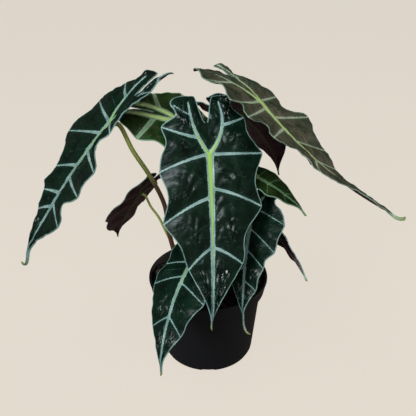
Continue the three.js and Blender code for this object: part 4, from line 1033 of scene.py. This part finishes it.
def smoothPath(points, count, denseSteps):
    # a centripetal curve through the points, evenly spaced along its length
    points = np.vstack([2 * points[0] - points[1], points, 2 * points[-1] - points[-2]])
    dense = []
    for i in range(1, len(points) - 2):
        a, b, c, d = points[i - 1:i + 3]
        ab, bc, cd = (np.linalg.norm(q - p) ** 0.5 for p, q in ((a, b), (b, c), (c, d)))
        leave = ((b - a) / ab - (c - a) / (ab + bc) + (c - b) / bc) * bc
        arrive = ((c - b) / bc - (d - b) / (bc + cd) + (d - c) / cd) * bc
        for t in np.arange(denseSteps) / denseSteps:
            cubic = (2 * b - 2 * c + leave + arrive) * t ** 3
            square = (3 * c - 3 * b - 2 * leave - arrive) * t ** 2
            dense.append(cubic + square + leave * t + b)
    dense.append(points[-2])
    dense = np.array(dense)
    run = np.concatenate([[0], np.cumsum(np.linalg.norm(np.diff(dense, axis=0), axis=1))])
    wanted = np.linspace(0, run[-1], count)
    return np.stack([np.interp(wanted, run, dense[:, axis]) for axis in range(3)], -1)


def makeStalkSkin(look):
    material, tree, skin = newMaterial("stalk skin", Specular_IOR_Level=look["gloss"],
                                       Coat_Weight=look["coat"], Coat_Roughness=look["coatRoughness"])
    place = placeOf(tree)
    streaks = noiseOf(tree, stretched(tree, place, look["streakStretch"]), *look["streaks"])
    spots = noiseOf(tree, place, *look["spots"])
    uneven = scaled(tree, mathOf(tree, "SUBTRACT", spots, 0.5), look["spotShare"])
    ragged = mathOf(tree, "ADD", attributeOf(tree, "brownShare"), uneven)
    mask = rangeOf(tree, ragged, *look["brownCut"], step="SMOOTHSTEP")
    green = blendColour(tree, streaks, look["green"], look["pale"])
    brown = blendColour(tree, streaks, look["dark"], look["brown"])
    tree.links.new(blendColour(tree, mask, green, brown), skin.inputs["Base Color"])
    tree.links.new(blendValue(tree, spots, *look["roughness"]), skin.inputs["Roughness"])
    addBump(tree, skin, streaks, *look["bump"])
    return material


def stalkCurve(name, path, size, form):
    curve = bpy.data.curves.new("stalk line", "CURVE")
    curve.dimensions = "3D"
    curve.bevel_depth = mm
    curve.bevel_resolution = form["roundness"]
    curve.use_fill_caps = True
    spline = curve.splines.new("POLY")
    spline.points.add(len(path) - 1)
    for i, point in enumerate(path):
        t = i / (len(path) - 1)
        plain = mixed(form["baseRadius"], form["neckRadius"], t ** form["radiusBend"])
        flare = form["flare"] * max(0, 1 - (1 - t) * form["flareShare"]) ** 2
        spline.points[i].co = (*(point * mm), 1)
        spline.points[i].radius = (plain + flare) * size
    piece = bpy.data.objects.new(name, curve)
    scene.collection.objects.link(piece)
    return piece


def makeStalk(leaf, form, skin):
    name = leaf["name"]
    path = smoothPath(stalkPoints(leaf, form), form["steps"], form["denseSteps"])
    size = min(1, form["slimShare"] + leaf["length"] / form["fullLength"]) * form["slim"].get(name, 1)
    piece = stalkCurve("stalk_" + name + "_full", path, size, form)
    piece.select_set(True)
    bpy.context.view_layer.objects.active = piece
    bpy.ops.object.convert(target="MESH")
    piece = bpy.context.object
    bpy.ops.object.mode_set(mode="EDIT")
    bpy.ops.mesh.select_all(action="SELECT")
    bpy.ops.mesh.remove_doubles(threshold=form["weldBelow"] * mm)
    bpy.ops.mesh.normals_make_consistent(inside=False)
    bpy.ops.object.mode_set(mode="OBJECT")
    smoothByAngle(piece, form["smoothAngle"])
    mesh = piece.data
    spots = np.zeros(len(mesh.vertices) * 3)
    mesh.vertices.foreach_get("co", spots)
    nearest = np.argmin(np.linalg.norm(spots.reshape(-1, 1, 3) / mm - path[None], axis=2), axis=1)
    brownTo, blend = form["brownTo"].get(name, form["usualBrownTo"]), form["brownBlend"]
    greenShare = smoothStep(brownTo - blend, brownTo + blend, nearest / (len(path) - 1))
    addLayer(mesh, "brownShare", 1 - greenShare)
    dress(piece, skin)
    return finishPiece(piece, "stalk_" + name)


stalkSkin = makeStalkSkin(stalkSettings)
for leaf in leaves:
    makeStalk(leaf, stalkSettings, stalkSkin)
print("stalks made:", len(leaves))


potSettings = {
    "height": 89, "rimRadius": 60, "collarFoot": 57.4, "shoulderRadius": 53.6, "baseRadius": 47,
    "cornerRadius": 4, "collarHeight": 13.6, "collarStep": 1.2, "wall": 1.6, "floor": 3.2, "fillet": 1.5,
    "lip": 2.4, "bead": 1.8, "ease": 0.5, "sides": 144, "gap": 0.3, "baseInset": 8, "innerStep": 1,
    "floorStart": 2.0, "stepRound": 0.5, "beadRound": 0.3, "rimRound": 0.7, "collarRound": 1.0,
    "shoulderRound": 0.6, "arcSteps": 4, "wideArc": 2, "wideArcSteps": 6, "smoothAngle": 35,
    "notchCount": 6, "notchWidth": 12.5, "notchHeight": 3, "notchReach": 11, "notchBeyond": 2,
    "notchStretch": 1.4, "notchRound": 0.8, "notchRoundSteps": 3,
    "drainRadius": 4, "drainRing": 38.5, "drainSides": 32, "drainDepth": 12.8,
    "plastic": tint(15, 16, 20), "worn": tint(32, 28, 27), "gloss": 0.3, "roughness": (0.46, 0.6),
    "cloud": (28, 4.0, 0.6), "fine": (1400, 2.0, 0.5), "fineShare": 0.5, "drawn": (60, 3.0, 0.6),
    "drawnStretch": (1, 1, 14), "scuffCut": (0.6, 0.75), "wear": 0.4, "wearRough": 0.2, "bump": (0.06, 0.5),
}


def turnedForm(name, rings, sides, x=0.0, y=0.0):
    # a closed form drawn up ring by ring from its flat underside
    bpy.ops.mesh.primitive_circle_add(vertices=sides, radius=rings[0][0] * mm, fill_type="NGON",
                                      location=(x * mm, y * mm, rings[0][1] * mm))
    piece = bpy.context.object
    piece.name = name
    bpy.ops.object.transform_apply(location=True)
    bpy.ops.object.mode_set(mode="EDIT")
    bpy.ops.mesh.select_all(action="SELECT")
    for (fromRadius, fromHeight), (toRadius, toHeight) in zip(rings[:-1], rings[1:]):
        rise = (toHeight - fromHeight) * mm
        bpy.ops.mesh.extrude_region_move(TRANSFORM_OT_translate={"value": (0, 0, rise)})
        ratio = toRadius / fromRadius
        bpy.ops.transform.resize(value=(ratio, ratio, 1), center_override=(x * mm, y * mm, 0))
    bpy.ops.mesh.select_all(action="SELECT")
    bpy.ops.mesh.normals_make_consistent(inside=False)
    bpy.ops.object.mode_set(mode="OBJECT")
    return piece


def rounded(corner, before, after, radius, steps):
    # a few points of an arc in place of a corner of a profile
    corner, before, after = (np.array(p, float) for p in (corner, before, after))
    start = corner + unit(before - corner) * radius
    stop = corner + unit(after - corner) * radius
    run = np.linspace(0, 1, steps)
    return [tuple(mixed(mixed(start, corner, t), mixed(corner, stop, t), t)) for t in run]


def potRings(form):
    # the pot's profile as corners with their rounding: up the outside, over the rim and down the inside
    shoulder, bead = form["height"] - form["collarHeight"], form["height"] - form["bead"]
    corners = [
        ((form["baseRadius"] - form["baseInset"], 0), 0),
        ((form["baseRadius"], 0), form["cornerRadius"]),
        ((form["shoulderRadius"], shoulder - form["collarStep"]), form["stepRound"]),
        ((form["collarFoot"], shoulder), form["stepRound"]),
        ((form["rimRadius"] - form["ease"], bead - form["ease"]), form["beadRound"]),
        ((form["rimRadius"], bead), form["beadRound"]),
        ((form["rimRadius"], form["height"]), form["rimRound"]),
        ((form["rimRadius"] - form["lip"], form["height"]), form["rimRound"]),
        ((form["collarFoot"] - form["wall"] - form["gap"], shoulder + form["fillet"]), form["collarRound"]),
        ((form["shoulderRadius"] - form["wall"], shoulder - form["innerStep"]), form["shoulderRound"]),
        ((form["baseRadius"] - form["wall"], form["floor"]), form["fillet"]),
        ((form["floorStart"], form["floor"]), 0),
    ]
    rings = []
    for i, (point, radius) in enumerate(corners):
        if radius:
            steps = form["wideArcSteps"] if radius > form["wideArc"] else form["arcSteps"]
            rings += rounded(point, corners[i - 1][0], corners[i + 1][0], radius, steps)
        else:
            rings.append(point)
    return rings


def cutWith(piece, cutter):
    bpy.ops.object.select_all(action="DESELECT")
    piece.select_set(True)
    bpy.context.view_layer.objects.active = piece
    modifier = piece.modifiers.new("cut", "BOOLEAN")
    modifier.operation = "DIFFERENCE"
    modifier.solver = "EXACT"
    modifier.object = cutter
    bpy.ops.object.modifier_apply(modifier="cut")
    bpy.data.objects.remove(cutter)


def makePotPlastic(look):
    material, tree, skin = newMaterial("pot plastic", Specular_IOR_Level=look["gloss"])
    place = placeOf(tree)
    drawn = noiseOf(tree, stretched(tree, place, look["drawnStretch"]), *look["drawn"])
    wear = scaled(tree, rangeOf(tree, drawn, *look["scuffCut"]), look["wear"])
    tree.links.new(blendColour(tree, wear, look["plastic"], look["worn"]), skin.inputs["Base Color"])
    cloud = blendValue(tree, noiseOf(tree, place, *look["cloud"]), *look["roughness"])
    rough = mathOf(tree, "ADD", cloud, scaled(tree, wear, look["wearRough"]))
    tree.links.new(rough, skin.inputs["Roughness"])
    fine = scaled(tree, noiseOf(tree, place, *look["fine"]), look["fineShare"])
    addBump(tree, skin, mathOf(tree, "ADD", fine, drawn), *look["bump"])
    return material


def addNotchCutter(form, turn):
    reach = (form["baseRadius"] - form["notchReach"] / 2 + form["notchBeyond"]) * mm
    length = form["notchReach"] * form["notchStretch"] * mm
    size = (length, form["notchWidth"] * mm, form["notchHeight"] * 2 * mm)
    place = (reach * math.cos(turn), reach * math.sin(turn), 0)
    bpy.ops.mesh.primitive_cube_add(size=1, rotation=(0, 0, turn), location=place, scale=size)
    cutter = bpy.context.object
    bevel = cutter.modifiers.new("round", "BEVEL")
    bevel.width = form["notchRound"] * mm
    bevel.segments = form["notchRoundSteps"]
    bpy.ops.object.modifier_apply(modifier="round")
    return cutter


def makePot(form):
    piece = turnedForm("pot_full", potRings(form), form["sides"])
    for i in range(form["notchCount"]):
        turn = -math.pi / 2 + 2 * math.pi * i / form["notchCount"]
        cutWith(piece, addNotchCutter(form, turn))
        ring = form["drainRing"] * mm
        place = (ring * math.cos(turn), ring * math.sin(turn), 0)
        bpy.ops.mesh.primitive_cylinder_add(vertices=form["drainSides"], radius=form["drainRadius"] * mm,
                                            depth=form["drainDepth"] * mm, location=place)
        cutWith(piece, bpy.context.object)
    smoothByAngle(piece, form["smoothAngle"])
    dress(piece, makePotPlastic(form))
    return finishPiece(piece, "pot")


makePot(potSettings)
print("pot made")

soilSettings = {
    "top": 76, "edge": 51.7, "foot": 45.1, "footHeight": 6.0, "stepFoot": 74.0, "stepTop": 77.4,
    "collarEdge": 55.1, "raised": 1.5, "slack": 0.05, "lowest": 3, "rings": 30, "sides": 110,
    "smoothAngle": 60,
    "lumps": 1.7, "lumpSize": 7, "lumpSeed": 3, "fineLumps": 0.5, "fineSize": 2.6, "fineSeed": 8,
    "bank": 10, "bankFrom": 40, "bankSides": (0.7, 0.95),  # the mix is heaped at the pot's left and right
    # painted shade: both colours of the mix are near black, the dark damp mix darkened further to stand for
    # the shade inside the pot
    "darkMixAndPaintedShade": tint(3, 3, 3), "dry": tint(9, 7, 6), "gloss": 0.25, "crumbs": (420, 5.0, 0.7),
    "crumbShare": 0.7, "cloud": (90, 3.0, 0.6), "roughness": (0.8, 0.98), "bump": (1.6, 1.0),
}
chipSettings = {
    "count": 420, "seed": 11, "unevenness": 0.13, "unevenSeed": 4, "rimClear": 1, "crownClear": 1.5,
    "length": (2.0, 7.5), "rimLength": 3.5, "rimBand": 2.5, "widthShare": (0.3, 0.7),
    "thickness": (0.7, 2.0), "lean": (-0.5, 0.5), "lift": (-0.2, 0.9),
    # painted shade: chips near the middle from left to right take the near black bark colour, the shade
    # under the leaves; chips at the left and right keep the bark's brown
    "bark": tint(104, 78, 56), "paintedShadeBark": tint(5, 4, 4), "paintedShadeFrom": 36, "paintedShadeTo": 48, "gloss": 0.3,
    "grain": (700, 4.0, 0.65), "grainTone": (0.7, 1.3), "roughness": (0.65, 0.9), "bump": (0.4, 0.8),
}


def makeSoilSkin(look):
    material, tree, skin = newMaterial("potting mix", Specular_IOR_Level=look["gloss"])
    place = placeOf(tree)
    crumbs = noiseOf(tree, place, *look["crumbs"])
    share = blendValue(tree, crumbs, 0.0, look["crumbShare"])
    # the near black mix and crumbs hold painted shade as well as the mix's own dark tone
    tree.links.new(blendColour(tree, share, look["darkMixAndPaintedShade"], look["dry"]), skin.inputs["Base Color"])
    cloud = noiseOf(tree, place, *look["cloud"])
    tree.links.new(blendValue(tree, cloud, *look["roughness"]), skin.inputs["Roughness"])
    addBump(tree, skin, crumbs, *look["bump"])
    return material


def makeBarkSkin(look):
    material, tree, skin = newMaterial("bark and coir", Specular_IOR_Level=look["gloss"])
    grain = noiseOf(tree, placeOf(tree), *look["grain"])
    # the tone holds each chip's own random tone and the painted shade of the middle chips
    toneAndPaintedShade = scaled(tree, attributeOf(tree, "toneAndPaintedShade"), blendValue(tree, grain, *look["grainTone"]))
    tree.links.new(blendColour(tree, toneAndPaintedShade, look["paintedShadeBark"], look["bark"]), skin.inputs["Base Color"])
    tree.links.new(blendValue(tree, grain, *look["roughness"]), skin.inputs["Roughness"])
    addBump(tree, skin, grain, *look["bump"])
    return material


def soilHeight(x, y, form):
    size, fine = form["lumpSize"], form["fineSize"]
    reach = math.hypot(x, y)
    side = smoothStep(*form["bankSides"], abs(x) / max(reach, 1))
    bank = float(smoothStep(form["bankFrom"], form["collarEdge"], reach) * side)
    lumps = noise.noise(Vector((x / size, y / size, form["lumpSeed"])))
    lumps += form["fineLumps"] * noise.noise(Vector((x / size * fine, y / size * fine, form["fineSeed"])))
    return form["top"] + form["bank"] * bank + form["lumps"] * lumps


def makeSoil(form):
    surface = form["top"] + form["raised"]
    rings = [(form["foot"], form["footHeight"]), (form["edge"], form["stepFoot"])]
    rings.append((form["collarEdge"], form["stepTop"]))
    rings += [(form["collarEdge"] * (1 - i / form["rings"]), surface) for i in range(form["rings"])]
    piece = turnedForm("soil_full", rings, form["sides"])
    for vertex in piece.data.vertices:
        if vertex.co.z > (surface - form["slack"]) * mm:
            height = soilHeight(vertex.co.x / mm, vertex.co.y / mm, form)
            vertex.co.z = max(height, form["top"] - form["lowest"]) * mm
    smoothByAngle(piece, form["smoothAngle"])
    dress(piece, makeSoilSkin(form))
    return finishPiece(piece, "soil")


def modelChip(form):
    # one bark chip, as its corners and faces
    bpy.ops.mesh.primitive_cube_add(size=1)
    chip = bpy.context.object
    bpy.ops.object.mode_set(mode="EDIT")
    bpy.ops.mesh.select_all(action="SELECT")
    bpy.ops.mesh.subdivide(number_cuts=1)
    bpy.ops.transform.vertex_random(offset=form["unevenness"], seed=form["unevenSeed"])
    bpy.ops.object.mode_set(mode="OBJECT")
    corners = [vertex.co.copy() for vertex in chip.data.vertices]
    sides = [list(face.vertices) for face in chip.data.polygons]
    bpy.data.objects.remove(chip)
    return corners, sides


def makeChips(form, soil, crown):
    # the chip strewn over the mix, each copy with its own vertices
    corners, sides = modelChip(form)
    draw = random.Random(form["seed"])
    points, faces, tones = [], [], []
    while len(tones) < form["count"] * len(corners):
        reach = (soil["collarEdge"] - form["rimClear"]) * draw.random() ** 0.5
        turn = draw.uniform(0, 2 * math.pi)
        x, y = reach * math.cos(turn), reach * math.sin(turn)
        if math.hypot(x - crown["x"], y - crown["y"]) < crown["radius"] + form["crownClear"]:
            continue
        inside = reach < soil["edge"] - form["rimBand"]
        long = draw.uniform(form["length"][0], form["length"][1] if inside else form["rimLength"])
        scale = Vector((long, long * draw.uniform(*form["widthShare"]), draw.uniform(*form["thickness"])))
        tilt = Vector((draw.uniform(*form["lean"]), draw.uniform(*form["lean"]), 1)).to_track_quat("Z", "Y")
        spin, toneAndPaintedShade, lift = draw.uniform(0, 2 * math.pi), draw.random(), draw.uniform(*form["lift"])
        # painted shade: a chip's tone fades to none, the near black bark colour, towards the middle from
        # left to right
        toneAndPaintedShade *= float(smoothStep(form["paintedShadeFrom"], form["paintedShadeTo"], abs(x)))
        c, q = math.cos(spin), math.sin(spin)
        height = soilHeight(x, y, soil) + lift
        faces += [[v + len(points) for v in side] for side in sides]
        for corner in corners:
            part = corner * scale
            part = tilt @ Vector((part.x * c - part.y * q, part.x * q + part.y * c, part.z))
            points.append(((x + part.x) * mm, (y + part.y) * mm, (height + part.z) * mm))
            tones.append(toneAndPaintedShade)
    mesh = bpy.data.meshes.new("bark chips")
    mesh.from_pydata(points, [], faces)
    addLayer(mesh, "toneAndPaintedShade", tones)
    mesh.materials.append(makeBarkSkin(form))
    piece = bpy.data.objects.new("bark_chips", mesh)
    scene.collection.objects.link(piece)
    return finishPiece(piece, None)


def crownRings(form):
    radius, top = form["radius"], form["top"]
    rings = [(radius - form["chamfer"], form["foot"])]
    for i in range(form["bands"]):
        scar = form["bandDepth"] * math.sin(i / form["bandTurn"])
        rings.append((radius - scar, form["foot"] + form["bandFoot"] + i))
    rings += [(radius - inward, top + height) for inward, height in form["shoulders"]]
    return rings + [(reach, top + height) for reach, height in form["dome"]]


def makeCrownSkin(look):
    material, tree, skin = newMaterial("crown fibres", Specular_IOR_Level=look["gloss"])
    fibres = noiseOf(tree, stretched(tree, placeOf(tree), look["fibreStretch"]), *look["fibres"])
    tree.links.new(blendColour(tree, fibres, look["dark"], look["pale"]), skin.inputs["Base Color"])
    tree.links.new(blendValue(tree, fibres, *look["roughness"]), skin.inputs["Roughness"])
    addBump(tree, skin, fibres, *look["bump"])
    return material


def makeCrown(form):
    piece = turnedForm("crown_full", crownRings(form), form["sides"], form["x"], form["y"])
    turns = form["ridgeTurns"]
    for vertex in piece.data.vertices:
        dx, dy = vertex.co.x / mm - form["x"], vertex.co.y / mm - form["y"]
        turn, reach = math.atan2(dy, dx), math.hypot(dx, dy)
        height = vertex.co.z / mm / form["ridgeLength"]
        ridge = form["ridge"] * noise.noise(Vector((math.cos(turn) * turns, math.sin(turn) * turns, height)))
        if reach > 1:
            vertex.co.x += dx / reach * ridge * mm
            vertex.co.y += dy / reach * ridge * mm
    smoothByAngle(piece, form["smoothAngle"])
    dress(piece, makeCrownSkin(form))
    return finishPiece(piece, "crown")


makeSoil(soilSettings)
makeChips(chipSettings, soilSettings, crownSettings)
makeCrown(crownSettings)
print("mix, chips and crown made")
